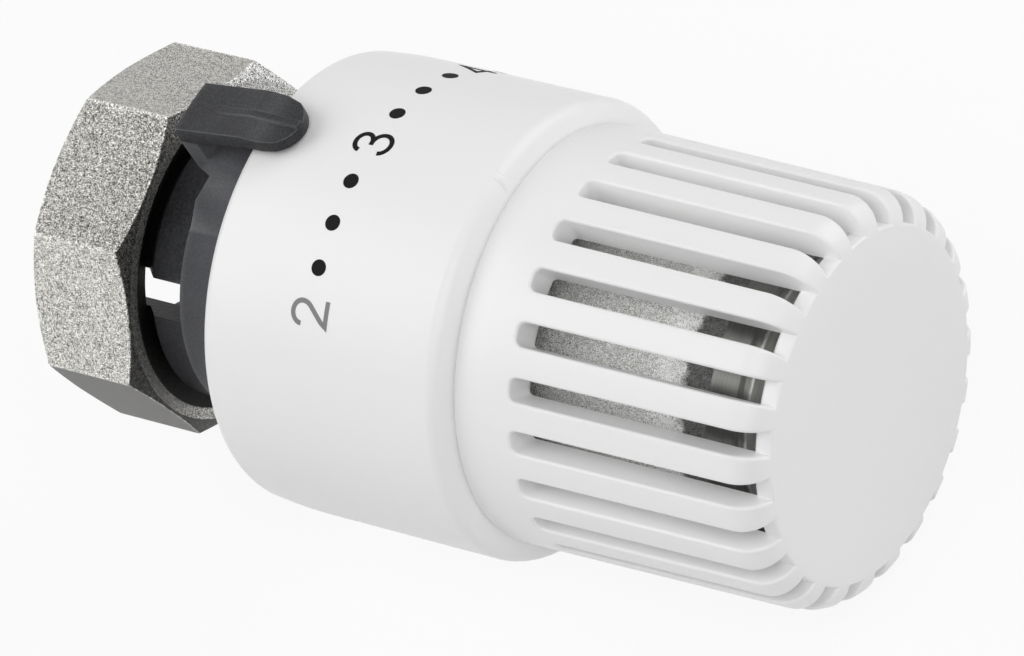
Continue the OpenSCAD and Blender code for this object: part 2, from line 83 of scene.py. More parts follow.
# ---------------------------------------------------------------------------
# Sizes and colours that a user would change


class HeadWheelSizes(bpy.types.PropertyGroup):
    """Sizes of the handwheel, in millimetres."""

    skirt_edge: bpy.props.FloatProperty(
        name="Skirt edge", description="Rounding of the skirt's open rear edge, in millimetres",
        default=1.3, min=0.2,
    )
    crown: bpy.props.FloatProperty(
        name="Crown", description="How far the skirt draws in towards its rear edge, in millimetres",
        default=0.35, min=0.0,
    )
    crown_len: bpy.props.FloatProperty(
        name="Crown length", description="Length over which the skirt draws in, in millimetres", default=7.0
    )
    wall: bpy.props.FloatProperty(
        name="Wall", description="Wall of the skirt, in millimetres", default=2.2, min=1.0
    )
    skirt_len: bpy.props.FloatProperty(
        name="Skirt length", description="Length of the skirt up to the shoulder's front, in millimetres",
        default=29.1,
    )
    shoulder_round: bpy.props.FloatProperty(
        name="Shoulder rounding", description="Radius between the skirt and the shoulder, in millimetres",
        default=1.5,
    )
    shoulder_slope: bpy.props.FloatProperty(
        name="Shoulder slope", description="Lean of the shoulder's face", subtype="ANGLE",
        default=math.radians(20),
    )
    groove: bpy.props.FloatProperty(
        name="Groove", description="Depth of the fine groove at the shoulder's foot, in millimetres",
        default=0.28,
    )
    grille_r: bpy.props.FloatProperty(
        name="Grille radius", description="Radius of the ribbed part at the shoulder, in millimetres",
        default=21.3,
    )
    grille_front_r: bpy.props.FloatProperty(
        name="Grille front radius", description="Radius of the ribbed part at its nose, in millimetres",
        default=20.9,
    )
    grille_bore: bpy.props.FloatProperty(
        name="Rib inner radius", description="Radius of the ribs' inner edges, in millimetres", default=17.8
    )
    slots: bpy.props.IntProperty(
        name="Slots", description="Number of slots round the wheel", default=24, min=6
    )
    slot_width: bpy.props.FloatProperty(
        name="Slot width", description="Width of each slot, in millimetres", default=2.4
    )
    slot_start: bpy.props.FloatProperty(
        name="Slot start", description="Length from the shoulder to the slots, in millimetres", default=6.5
    )
    slot_round: bpy.props.FloatProperty(
        name="Slot corner", description="Radius of the slots' rear corners, in millimetres", default=0.8
    )
    rib_round: bpy.props.FloatProperty(
        name="Rib rounding", description="Rounding of the ribs' outer edges, in millimetres", default=0.34
    )
    nose_r: bpy.props.FloatProperty(
        name="Nose radius", description="Radius at which the ribs curve over to the disc, in millimetres",
        default=3.4,
    )
    disc_r: bpy.props.FloatProperty(
        name="Disc radius", description="Radius of the flat end disc, in millimetres", default=18.05
    )
    disc_t: bpy.props.FloatProperty(
        name="Disc thickness", description="Thickness of the end disc, in millimetres", default=2.0
    )
    disc_edge: bpy.props.FloatProperty(
        name="Disc edge", description="Rounding of the end disc's edge, in millimetres", default=0.3
    )
    boss_r: bpy.props.FloatProperty(
        name="Boss radius", description="Outer radius of the threaded boss, in millimetres", default=18.16
    )
    boss_wall: bpy.props.FloatProperty(
        name="Boss wall", description="Wall of the threaded boss, in millimetres", default=2.1
    )
    boss_start: bpy.props.FloatProperty(
        name="Boss start", description="Length from the skirt's rear edge to the boss, in millimetres",
        default=9.0,
    )
    ink_lift: bpy.props.FloatProperty(
        name="Print thickness", description="Height of the printed marks above the skirt, in millimetres",
        default=0.03,
    )


class HeadDialSizes(bpy.types.PropertyGroup):
    """Sizes of the printed dial, in millimetres."""

    row: bpy.props.FloatProperty(
        name="Row", description="Length from the skirt's rear edge to the row of marks, in millimetres",
        default=13.25,
    )
    turn: bpy.props.FloatProperty(
        name="Turn", description="Degrees by which the print stands past the rest mark", default=-0.45
    )
    digit_height: bpy.props.FloatProperty(
        name="Digit height", description="Height of the numbers, in millimetres", default=4.4
    )
    stroke: bpy.props.FloatProperty(
        name="Stroke", description="Width of the numbers' strokes, in millimetres", default=0.5
    )
    dot: bpy.props.FloatProperty(
        name="Dot", description="Diameter of the dots, in millimetres", default=1.66
    )
    step: bpy.props.FloatProperty(
        name="Step", description="Degrees between two neighbouring numbers", default=45.0
    )


class HeadNutSizes(bpy.types.PropertyGroup):
    """Sizes of the union nut, in millimetres."""

    flats: bpy.props.FloatProperty(
        name="Across flats", description="Width of the octagon across its flats, in millimetres",
        default=36.0,
    )
    turn: bpy.props.FloatProperty(
        name="Turn", description="Degrees from the pointer's side to the nearest corner", default=-1.5
    )
    corner_round: bpy.props.FloatProperty(
        name="Corner rounding", description="Rounding of the octagon's corners, in millimetres", default=0.3
    )
    ring_r: bpy.props.FloatProperty(
        name="Chamfer radius", description="Radius of the turned chamfers at the end faces, in millimetres",
        default=17.7,
    )
    rear_chamfer: bpy.props.FloatProperty(
        name="Rear chamfer", description="Length of the rear chamfer at a corner, in millimetres",
        default=0.9,
    )
    front_chamfer: bpy.props.FloatProperty(
        name="Front chamfer", description="Length of the front chamfer at a corner, in millimetres",
        default=1.04,
    )
    mouth_r: bpy.props.FloatProperty(
        name="Mouth radius", description="Radius of the conical mouth at the front, in millimetres",
        default=16.5,
    )
    mouth_len: bpy.props.FloatProperty(
        name="Mouth", description="Depth of the mouth, in millimetres", default=1.5
    )
    lip_r: bpy.props.FloatProperty(
        name="Lip radius", description="Bore of the lip that holds the carrier, in millimetres",
        default=13.188,
    )
    lip_len: bpy.props.FloatProperty(
        name="Lip", description="Length of the lip, in millimetres", default=1.4
    )
    undercut_r: bpy.props.FloatProperty(
        name="Undercut radius", description="Radius of the groove for the carrier's hooks, in millimetres",
        default=15.3,
    )
    undercut_len: bpy.props.FloatProperty(
        name="Undercut", description="Length of that groove, in millimetres", default=2.0
    )
    thread_r: bpy.props.FloatProperty(
        name="Thread crest radius", description="Radius of the thread's crests, in millimetres",
        default=14.19,
    )
    thread_depth: bpy.props.FloatProperty(
        name="Thread depth", description="Depth of the thread, in millimetres", default=0.85
    )
    pitch: bpy.props.FloatProperty(
        name="Pitch", description="Pitch of the thread, in millimetres", default=1.5
    )
    # Painted shade: the chamfers are darkened to this share of the nickel's brightness
    rim_tone: bpy.props.FloatProperty(
        name="Rim brightness", description="Brightness of the chamfers as a share of the nickel's",
        default=0.08,
    )
    # Side at which the rim's painted highlight is strongest
    bright_side: bpy.props.FloatProperty(
        name="Bright side", description="Degrees at which the rim is brightest", default=-60.0
    )


class HeadPointerSizes(bpy.types.PropertyGroup):
    """Sizes of the pointer on the carrier, in millimetres."""

    width: bpy.props.FloatProperty(
        name="Width", description="Width of the pointer at its foot, in millimetres", default=6.34
    )
    turn: bpy.props.FloatProperty(
        name="Turn", description="Degrees by which the pointer stands past the dial's rest mark",
        default=2.0,
    )
    root_gap: bpy.props.FloatProperty(
        name="Root", description="Length from the nut to the pointer's rear edge, in millimetres",
        default=4.55,
    )
    length: bpy.props.FloatProperty(
        name="Length", description="Length of the pointer, in millimetres", default=14.05
    )
    crest: bpy.props.FloatProperty(
        name="Crest", description="Length from the rear edge to the crest, in millimetres", default=8.33
    )
    tip_len: bpy.props.FloatProperty(
        name="Tip", description="Length of the oval tip, in millimetres", default=3.4
    )
    gap: bpy.props.FloatProperty(
        name="Gap", description="Gap between the pointer and the skirt, in millimetres", default=0.4
    )
    rise: bpy.props.FloatProperty(
        name="Rise", description="How far the top rises from its rear edge to its crest, in millimetres",
        default=1.25,
    )
    under_rise: bpy.props.FloatProperty(
        name="Underside rise",
        description="How far the underside rises over the same length, in millimetres", default=1.7,
    )
    thickness: bpy.props.FloatProperty(
        name="Thickness", description="Thickness of the pointer at its crest, in millimetres", default=1.8
    )
    draft: bpy.props.FloatProperty(
        name="Draft", description="How far the wall leans outwards, in millimetres", default=0.06
    )
    edge: bpy.props.FloatProperty(
        name="Edge", description="Rounding of the pointer's edges, in millimetres", default=0.12
    )
    line_width: bpy.props.FloatProperty(
        name="Line width", description="Width of the raised line, in millimetres", default=0.86
    )
    line_offset: bpy.props.FloatProperty(
        name="Line offset", description="Offset of the raised line from the middle, in millimetres",
        default=0.07,
    )


class HeadFinishes(bpy.types.PropertyGroup):
    """Colours of the finishes."""

    white: bpy.props.FloatVectorProperty(
        name="White plastic", description="Colour of the handwheel", subtype="COLOR",
        default=(0.9, 0.9, 0.9),
    )
    black: bpy.props.FloatVectorProperty(
        name="Black plastic", description="Colour of the carrier", subtype="COLOR",
        default=(0.026, 0.0265, 0.0285),
    )
    nickel: bpy.props.FloatVectorProperty(
        name="Nickel", description="Colour of the plated nut", subtype="COLOR", default=(0.63, 0.62, 0.585)
    )
    ink: bpy.props.FloatVectorProperty(
        name="Ink", description="Colour of the printed marks", subtype="COLOR",
        default=(0.012, 0.012, 0.013),
    )
    pale_ink: bpy.props.FloatVectorProperty(
        name="Pale ink", description="Colour of the worn print", subtype="COLOR",
        default=(0.19, 0.19, 0.192),
    )


class HeadStageSizes(bpy.types.PropertyGroup):
    """Camera and light."""

    camera_place: bpy.props.FloatVectorProperty(
        name="Camera place", description="Place of the camera", subtype="TRANSLATION", unit="LENGTH",
        default=(0.442339, -0.355546, 0.529558),
    )
    azimuth: bpy.props.FloatProperty(
        name="Azimuth", description="Direction of the camera round the vertical", subtype="ANGLE",
        default=math.radians(48.1264),
    )
    elevation: bpy.props.FloatProperty(
        name="Elevation", description="Height of the camera's direction above the horizon", subtype="ANGLE",
        default=math.radians(44.9288),
    )
    roll: bpy.props.FloatProperty(
        name="Roll", description="Roll of the camera about its own line of sight", subtype="ANGLE",
        default=math.radians(24.3711),
    )
    lens: bpy.props.FloatProperty(
        name="Lens", description="Focal length on a 36 mm sensor, in millimetres", default=264.93
    )
    room: bpy.props.FloatProperty(
        name="Room light", description="Strength of the light from all round", default=0.18, min=0.0
    )
    right_power: bpy.props.FloatProperty(
        name="Right light", description="Power of the light above on the right", subtype="POWER",
        default=1.68, min=0.0,
    )
    left_power: bpy.props.FloatProperty(
        name="Left light", description="Power of the light on the left", subtype="POWER", default=1.77,
        min=0.0,
    )
    front_power: bpy.props.FloatProperty(
        name="Front light", description="Power of the light beside the camera", subtype="POWER",
        default=1.63, min=0.0,
    )


def sizes(name):
    """A property group of the scene."""
    return getattr(bpy.context.scene, name)


# ---------------------------------------------------------------------------
# Mesh making: every shape is worked out in millimetres and handed over in metres


def place(x, across, up, turn=0.0):
    """Points given in a frame that is turned about the X axis: x along it, up away from it at the given
    angle from +Z towards -Y, and across it towards growing angles."""
    a = np.radians(turn)
    x, across, up, a = np.broadcast_arrays(x, across, up, a)
    return np.stack([x, -up * np.sin(a) - across * np.cos(a), up * np.cos(a) - across * np.sin(a)], -1)


def grid_faces(rows, columns, close_rows=False, close_columns=False, start=0):
    """Quads of a grid of points numbered row by row, with wrap-around where a direction is closed."""
    i = np.arange(rows if close_rows else rows - 1)
    j = np.arange(columns if close_columns else columns - 1)
    i, j = np.meshgrid(i, j, indexing="ij")
    i2, j2 = (i + 1) % rows, (j + 1) % columns
    quads = np.stack([i * columns + j, i2 * columns + j, i2 * columns + j2, i * columns + j2], -1)
    return quads.reshape(-1, 4) + start


def weld(points, faces):
    """Joins points that lie within a tenth of a micron and drops the edges and faces that vanish with them.
    Gives also which of the first points each new one is. The shift keeps round sizes off the rounding's
    borders."""
    cells_per_mm, shift = 1e4, 0.2137
    key = np.round(points * cells_per_mm + shift).astype(np.int64)
    _, first, number = np.unique(key, axis=0, return_index=True, return_inverse=True)
    faces = number.reshape(-1)[faces]
    kept = []
    for face in faces.tolist():
        ring = [v for n, v in enumerate(face) if v != face[n - 1]]
        if len(set(ring)) == len(ring) and len(ring) > 2:
            kept.append(ring)
    return points[first], kept, first


def finish_mesh(name, mesh, shell, body, sharp):
    """Writes a worked shell to its mesh, smooths it except at its sharp edges, and makes its riding
    object."""
    shell.to_mesh(mesh)
    shell.free()
    mesh.polygons.foreach_set("use_smooth", np.ones(len(mesh.polygons), bool))
    mesh.set_sharp_from_angle(angle=math.radians(sharp))
    piece = bpy.data.objects.new(name, mesh)
    bpy.context.scene.collection.objects.link(piece)
    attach(piece, body)
    return piece


def add_mesh(name, points, faces, body, sharp=32.0, marks=None):
    """Makes a mesh object of millimetre points, joins its doubles, turns its faces outwards, marks its
    sharp edges and lets it ride on a body. Marks are values at the points, kept as attributes for the
    material."""
    points, faces, first = weld(points, faces)
    mesh = bpy.data.meshes.new(name)
    mesh.from_pydata((points * MM).tolist(), [], faces)
    mesh.update()
    for label, values in (marks or {}).items():
        mark = mesh.attributes.new(label, "FLOAT", "POINT")
        mark.data.foreach_set("value", values.reshape(-1)[first].astype(np.float32))
    shell = bmesh.new()
    shell.from_mesh(mesh)
    bmesh.ops.recalc_face_normals(shell, faces=shell.faces)
    return finish_mesh(name, mesh, shell, body, sharp)


def join_shells(shells):
    """Puts several (points, quads) pairs in one."""
    offset, points, faces = 0, [], []
    for p, f in shells:
        p = p.reshape(-1, 3)
        points.append(p)
        faces.append(f + offset)
        offset += len(p)
    return np.concatenate(points), np.concatenate(faces)


def revolve(profile, angles):
    """A profile of (x, radius) pairs carried round the X axis: row i, column j is the profile's point i at
    angle j."""
    x, r = np.asarray(profile, float).T
    a = np.asarray(angles, float)
    points = place(x[:, None], np.zeros((1, len(a))), r[:, None], a[None, :])
    return points.reshape(-1, 3), grid_faces(len(x), len(a), close_columns=True)


def arc_points(centre, radius, start, stop, count):
    """Points of a circle's arc as (x, radius) pairs, where the angle turns from +radius towards +x."""
    a = np.radians(np.linspace(start, stop, count))
    return np.stack([centre[0] + radius * np.sin(a), centre[1] + radius * np.cos(a)], -1)


# ---------------------------------------------------------------------------
# Materials

FLOAT, COLOUR, VECTOR = "NodeSocketFloat", "NodeSocketColor", "NodeSocketVector"
FINISH_OUTPUTS = {"Colour": COLOUR, "Roughness": FLOAT, "Height": FLOAT}
MM_PER_M = 1000.0


def new_group(name, values, outputs):
    """An empty shader node group that takes a place, a colour and named values with their defaults."""
    tree = bpy.data.node_groups.new(name, "ShaderNodeTree")
    for label, kind in (("Vector", VECTOR), ("Colour", COLOUR)):
        tree.interface.new_socket(label, in_out="INPUT", socket_type=kind)
    for label, default in values.items():
        tree.interface.new_socket(label, in_out="INPUT", socket_type=FLOAT).default_value = default
    for label, kind in outputs.items():
        tree.interface.new_socket(label, in_out="OUTPUT", socket_type=kind)
    return tree, tree.nodes.new("NodeGroupInput"), tree.nodes.new("NodeGroupOutput")


def node(tree, kind, links=(), **settings):
    """A node with its settings, and its inputs set from values or linked from sockets."""
    made = tree.nodes.new(kind)
    for key, value in settings.items():
        setattr(made, key, value)
    for key, value in dict(links).items():
        socket = made.inputs[key]
        if isinstance(value, bpy.types.NodeSocket):
            tree.links.new(value, socket)
        else:
            socket.default_value = value
    return made


def maths(tree, operation, a, b, c=None, clamp=False):
    """A Math node's result."""
    values = {0: a, 1: b} if c is None else {0: a, 1: b, 2: c}
    return node(tree, "ShaderNodeMath", values, operation=operation, use_clamp=clamp).outputs[0]


def spread(tree, value, low, high):
    """A value carried from between two limits to between 0 and 1, and held there."""
    return node(tree, "ShaderNodeMapRange", {0: value, 1: low, 2: high}).outputs[0]


def noise(tree, place_on, scale, detail, roughness=0.5):
    """Soft noise between 0 and 1, with the given number of cells to a metre."""
    inputs = {"Vector": place_on, "Scale": scale, "Detail": detail, "Roughness": roughness}
    return node(tree, "ShaderNodeTexNoise", inputs).outputs[0]


def swing(tree, value, amount):
    """How far a value between 0 and 1 lies from its middle, times an amount."""
    return maths(tree, "MULTIPLY", maths(tree, "SUBTRACT", value, 0.5), amount)


def scaled(tree, colour, factor):
    """A colour times a factor."""
    return node(tree, "ShaderNodeVectorMath", {0: colour, 3: factor}, operation="SCALE").outputs[0]


def give(tree, get, **results):
    """Links a group's results to its outputs."""
    for label, value in results.items():
        tree.links.new(value, get.inputs[label])


def moulded_group():
    """Moulded plastic: two sizes of soft noise give a fine relief and a small change of gloss and shade.
    Edge is added to the shade's factor: its painted highlights and painted light lighten, and its painted
    shade darkens where it is negative."""
    tree, put, get = new_group(
        "moulded plastic",
        {"Grain size": 0.3, "Grain depth": 0.02, "Roughness": 0.35, "Shade change": 0.02, "Edge": 0.0},
        FINISH_OUTPUTS,
    )
    source = put.outputs
    fine = noise(tree, source["Vector"], maths(tree, "DIVIDE", MM_PER_M, source["Grain size"]), 3.0)
    broad = noise(tree, source["Vector"], 90.0, 2.0)
    factor = maths(tree, "ADD", 1.0, swing(tree, broad, source["Shade change"]))
    factor = maths(tree, "ADD", factor, swing(tree, fine, source["Shade change"]))
    factor = maths(tree, "ADD", factor, source["Edge"])
    give(
        tree, get,
        Colour=scaled(tree, source["Colour"], factor),
        Roughness=maths(tree, "ADD", source["Roughness"], swing(tree, broad, 0.12), clamp=True),
        Height=maths(tree, "MULTIPLY", fine, source["Grain depth"]),
    )
    return tree


def sanded_group():
    """Sand-blasted metal: crowded small pits from two noises, with bright and dark grains and a rough
    relief. Tone and Grain scale the brightness and the contrast of the grains and, where marked, carry
    painted light and shade, and Edge brightens worn edges with a painted highlight, the more so the darker
    they are."""
    tree, put, get = new_group(
        "sanded metal",
        {
            "Grain size": 0.25, "Grain depth": 0.05, "Contrast": 0.5, "Roughness": 0.4,
            "Tone": 1.0, "Grain": 1.0, "Edge": 0.0,
        },
        FINISH_OUTPUTS,
    )
    source = put.outputs
    scale = maths(tree, "DIVIDE", MM_PER_M, source["Grain size"])
    fine = noise(tree, source["Vector"], scale, 1.5, roughness=0.6)
    coarse = noise(tree, source["Vector"], maths(tree, "MULTIPLY", scale, 0.3), 2.0)
    pit_scale = maths(tree, "MULTIPLY", scale, 0.8)
    pits = node(tree, "ShaderNodeTexVoronoi", {"Vector": source["Vector"], "Scale": pit_scale})
    mix = maths(tree, "ADD", maths(tree, "MULTIPLY", fine, 0.75), maths(tree, "MULTIPLY", coarse, 0.25))
    grains = spread(tree, mix, 0.38, 0.62)
    change = swing(tree, grains, maths(tree, "MULTIPLY", source["Contrast"], source["Grain"]))
    # Edges brighten for wear and a painted highlight, more where the painted tone is darker
    missing = maths(tree, "SUBTRACT", 1.5, source["Tone"])
    worn = maths(tree, "MULTIPLY", source["Edge"], missing, clamp=True)
    tone = maths(tree, "ADD", source["Tone"], worn)
    factor = maths(tree, "MULTIPLY", maths(tree, "ADD", 1.0, change), tone)
    relief = maths(tree, "ADD", grains, maths(tree, "MULTIPLY", pits.outputs[0], 0.6))
    give(
        tree, get,
        Colour=scaled(tree, source["Colour"], maths(tree, "MAXIMUM", factor, 0.03)),
        Roughness=maths(tree, "ADD", source["Roughness"], swing(tree, grains, 0.15), clamp=True),
        Height=maths(tree, "MULTIPLY", relief, source["Grain depth"]),
    )
    return tree


def turned_group():
    """Turned metal: noise that is drawn out round the X axis makes fine rings, and a cloudy noise varies
    the gloss and the shade softly."""
    tree, put, get = new_group(
        "turned metal",
        {"Ring pitch": 0.12, "Ring depth": 0.01, "Contrast": 0.25, "Roughness": 0.3},
        FINISH_OUTPUTS,
    )
    source = put.outputs
    drawn_out = {0: source["Vector"], 1: (1.0, 0.04, 0.04)}
    stretch = node(tree, "ShaderNodeVectorMath", drawn_out, operation="MULTIPLY").outputs[0]
    scale = maths(tree, "DIVIDE", MM_PER_M, source["Ring pitch"])
    line = spread(tree, noise(tree, stretch, scale, 3.0, roughness=0.6), 0.35, 0.65)
    cloud = noise(tree, source["Vector"], 160.0, 3.0)
    factor = maths(tree, "ADD", 1.0, swing(tree, line, source["Contrast"]))
    factor = maths(tree, "ADD", factor, swing(tree, cloud, source["Contrast"]))
    give(
        tree, get,
        Colour=scaled(tree, source["Colour"], factor),
        Roughness=maths(tree, "ADD", source["Roughness"], swing(tree, cloud, 0.3), clamp=True),
        Height=maths(tree, "MULTIPLY", line, source["Ring depth"]),
    )
    return tree


def zone_group():
    """Scales a colour by a factor between two places on the X axis, in millimetres. The zone's borders fall
    softly over twice the softness and are ragged where the mottling is more than 0."""
    tree, put, get = new_group(
        "zone along the head",
        {"Start": 0.0, "End": 10.0, "Softness": 0.5, "Mottling": 0.0, "Factor": 1.0},
        {"Colour": COLOUR},
    )
    source = put.outputs
    split = node(tree, "ShaderNodeSeparateXYZ", {0: source["Vector"]})
    ragged = swing(tree, noise(tree, source["Vector"], 900.0, 4.0), source["Mottling"])
    along = maths(tree, "ADD", maths(tree, "MULTIPLY", split.outputs[0], MM_PER_M), ragged)
    borders = []
    for label in ("Start", "End"):
        low = maths(tree, "SUBTRACT", source[label], source["Softness"])
        high = maths(tree, "ADD", source[label], source["Softness"])
        borders.append(spread(tree, along, low, high))
    mask = maths(tree, "SUBTRACT", *borders)
    factor = maths(tree, "MULTIPLY_ADD", mask, maths(tree, "SUBTRACT", source["Factor"], 1.0), 1.0)
    give(tree, get, Colour=scaled(tree, source["Colour"], factor))
    return tree


GROUPS = {}


def add_group(tree, name, place_on, values):
    """A copy of a finished node group in a material, at a place and with its values."""
    if not GROUPS:
        GROUPS.update(moulded=moulded_group(), sanded=sanded_group(), turned=turned_group())
        GROUPS["zone"] = zone_group()
    group = tree.nodes.new("ShaderNodeGroup")
    group.node_tree = GROUPS[name]
    tree.links.new(place_on, group.inputs["Vector"])
    for key, value in values.items():
        group.inputs[key].default_value = value
    return group


# The values that each kind of finish takes, in the order in which a finish gives its numbers
FINISH_VALUES = {
    "moulded": ("Grain size", "Grain depth", "Roughness", "Shade change"),
    "sanded": ("Grain size", "Grain depth", "Roughness", "Contrast"),
    "turned": ("Ring pitch", "Ring depth", "Roughness", "Contrast"),
}
ZONE_VALUES = ("Start", "End", "Softness", "Mottling", "Factor")
MATERIALS = {}


def finish_material(name, kind, colour, numbers, ior=1.5, marks=(), zones=()):
    """Makes a Principled material whose colour, roughness and relief come from one of the finish groups;
    every kind but the moulded one is metal. Marks name the mesh attributes that feed inputs of the same
    group, and zones scale the colour between two places on the X axis."""
    made = bpy.data.materials.new(name)
    made.use_nodes = True
    tree = made.node_tree
    tree.nodes.clear()
    out = tree.nodes.new("ShaderNodeOutputMaterial")
    shader = tree.nodes.new("ShaderNodeBsdfPrincipled")
    tree.links.new(shader.outputs[0], out.inputs["Surface"])
    place_on = tree.nodes.new("ShaderNodeTexCoord").outputs["Object"]
    group = add_group(tree, kind, place_on, dict(zip(FINISH_VALUES[kind], numbers)))
    group.inputs["Colour"].default_value = (*colour, 1.0)
    for mark in marks:
        source = node(tree, "ShaderNodeAttribute", attribute_name=mark)
        tree.links.new(source.outputs["Fac"], group.inputs[mark.capitalize()])
    paint = group.outputs["Colour"]
    for limits in zones:
        zone = add_group(tree, "zone", place_on, dict(zip(ZONE_VALUES, limits)))
        tree.links.new(paint, zone.inputs["Colour"])
        paint = zone.outputs["Colour"]
    tree.links.new(paint, shader.inputs["Base Color"])
    tree.links.new(group.outputs["Roughness"], shader.inputs["Roughness"])
    height = {"Height": group.outputs["Height"], "Strength": 1.0, "Distance": MM}
    relief = node(tree, "ShaderNodeBump", height)
    tree.links.new(relief.outputs[0], shader.inputs["Normal"])
    shader.inputs["Metallic"].default_value = 0.0 if kind == "moulded" else 1.0
    shader.inputs["IOR"].default_value = ior
    MATERIALS[name] = made


def make_outer_materials():
    """Makes the materials of the pieces that are seen from outside. The carrier has painted light from the
    pointer's root on, the most just behind it, and painted shade further back inside the nut."""
    tone = sizes("head_finishes")
    ring_x = high_mm("union_nut", 0) + sizes("head_pointer").root_gap
    shade_x = ring_x - 4.5
    finish_material("white satin plastic", "moulded", tone.white, (0.22, 0.006, 0.36, 0.012))
    # Zones of the carrier: painted light from the ring on, more painted light just behind it, painted shade
    # deep in the nut
    finish_material(
        "black filled plastic", "moulded", tone.black, (0.26, 0.06, 0.42, 1.8), ior=1.27, marks=["edge"],
        zones=[(ring_x, 60, 0.05, 0, 1.35), (shade_x, ring_x, 0.7, 0, 1.9), (0, shade_x, 0.7, 0, 0.15)],
    )
    finish_material("black print", "moulded", tone.ink, (0.15, 0.003, 0.6, 0.2), ior=1.15)
    finish_material("worn print", "moulded", tone.pale_ink, (0.15, 0.003, 0.5, 0.15))
    nickel = (0.11, 0.09, 0.36, 1.8)
    # The nut's tone, grain and edge marks carry painted light, painted shade and painted highlights
    finish_material("sanded nickel", "sanded", tone.nickel, nickel, marks=["tone", "grain", "edge"])


def make_inner_materials():
    """Makes the materials of the pieces inside the wheel. The sensor's can has a light mottled band and a
    dark front edge, and its turned cap is dark at the foot and light at the end."""
    can_x, cap_x = high_mm("sensor_can", 0), high_mm("sensor_end_cap", 0)
    finish_material(
        "grainy sensor metal", "sanded", (0.72, 0.72, 0.7), (0.12, 0.05, 0.32, 0.9),
        zones=[(can_x - 5.9, can_x - 3.9, 1.0, 2.5, 1.4), (can_x - 2.9, can_x + 2.0, 0.4, 2.2, 0.2)],
    )
    finish_material(
        "turned sensor metal", "turned", (0.3, 0.3, 0.285), (0.12, 0.005, 0.36, 0.3),
        zones=[(can_x - 1.0, cap_x - 1.3, 0.12, 0.5, 0.45), (cap_x - 1.3, cap_x + 1.0, 0.15, 1.6, 1.2)],
    )
    finish_material("zinc-plated steel", "turned", (0.6, 0.61, 0.63), (0.15, 0.01, 0.3, 0.2))
    finish_material("drawn spring steel", "sanded", (0.33, 0.34, 0.36), (0.4, 0.01, 0.32, 0.3))
    finish_material("rolled bronze", "turned", (0.66, 0.52, 0.33), (0.2, 0.006, 0.26, 0.2))
    finish_material("natural acetal", "moulded", (0.78, 0.76, 0.68), (0.3, 0.005, 0.35, 0.03))
    finish_material("white acetal", "moulded", (0.8, 0.8, 0.78), (0.3, 0.005, 0.32, 0.03))
    finish_material("grey plastic", "moulded", (0.16, 0.16, 0.165), (0.2, 0.015, 0.5, 0.1))
    finish_material("red plastic", "moulded", (0.55, 0.03, 0.025), (0.25, 0.006, 0.4, 0.05))
    finish_material("black rubber", "moulded", (0.02, 0.02, 0.02), (0.3, 0.02, 0.8, 0.2))


def material(name):
    """A material by its name; all are made at the first call."""
    if not MATERIALS:
        make_outer_materials()
        make_inner_materials()
    return MATERIALS[name]


def coat_piece(piece, name):
    """Gives a piece one material."""
    piece.data.materials.clear()
    piece.data.materials.append(material(name))


# ---------------------------------------------------------------------------
# Handwheel

# Points of half a slot's edge: across its rear end, round its corner and along its straight side. Up to
# half the corner they face the rear line of a sector, and from there the rib's middle.
REAR_POINTS, CORNER_POINTS, SIDE_POINTS = 3, 8, 11
REAR_LINE = REAR_POINTS + CORNER_POINTS // 2
SIDE_START = REAR_POINTS + CORNER_POINTS


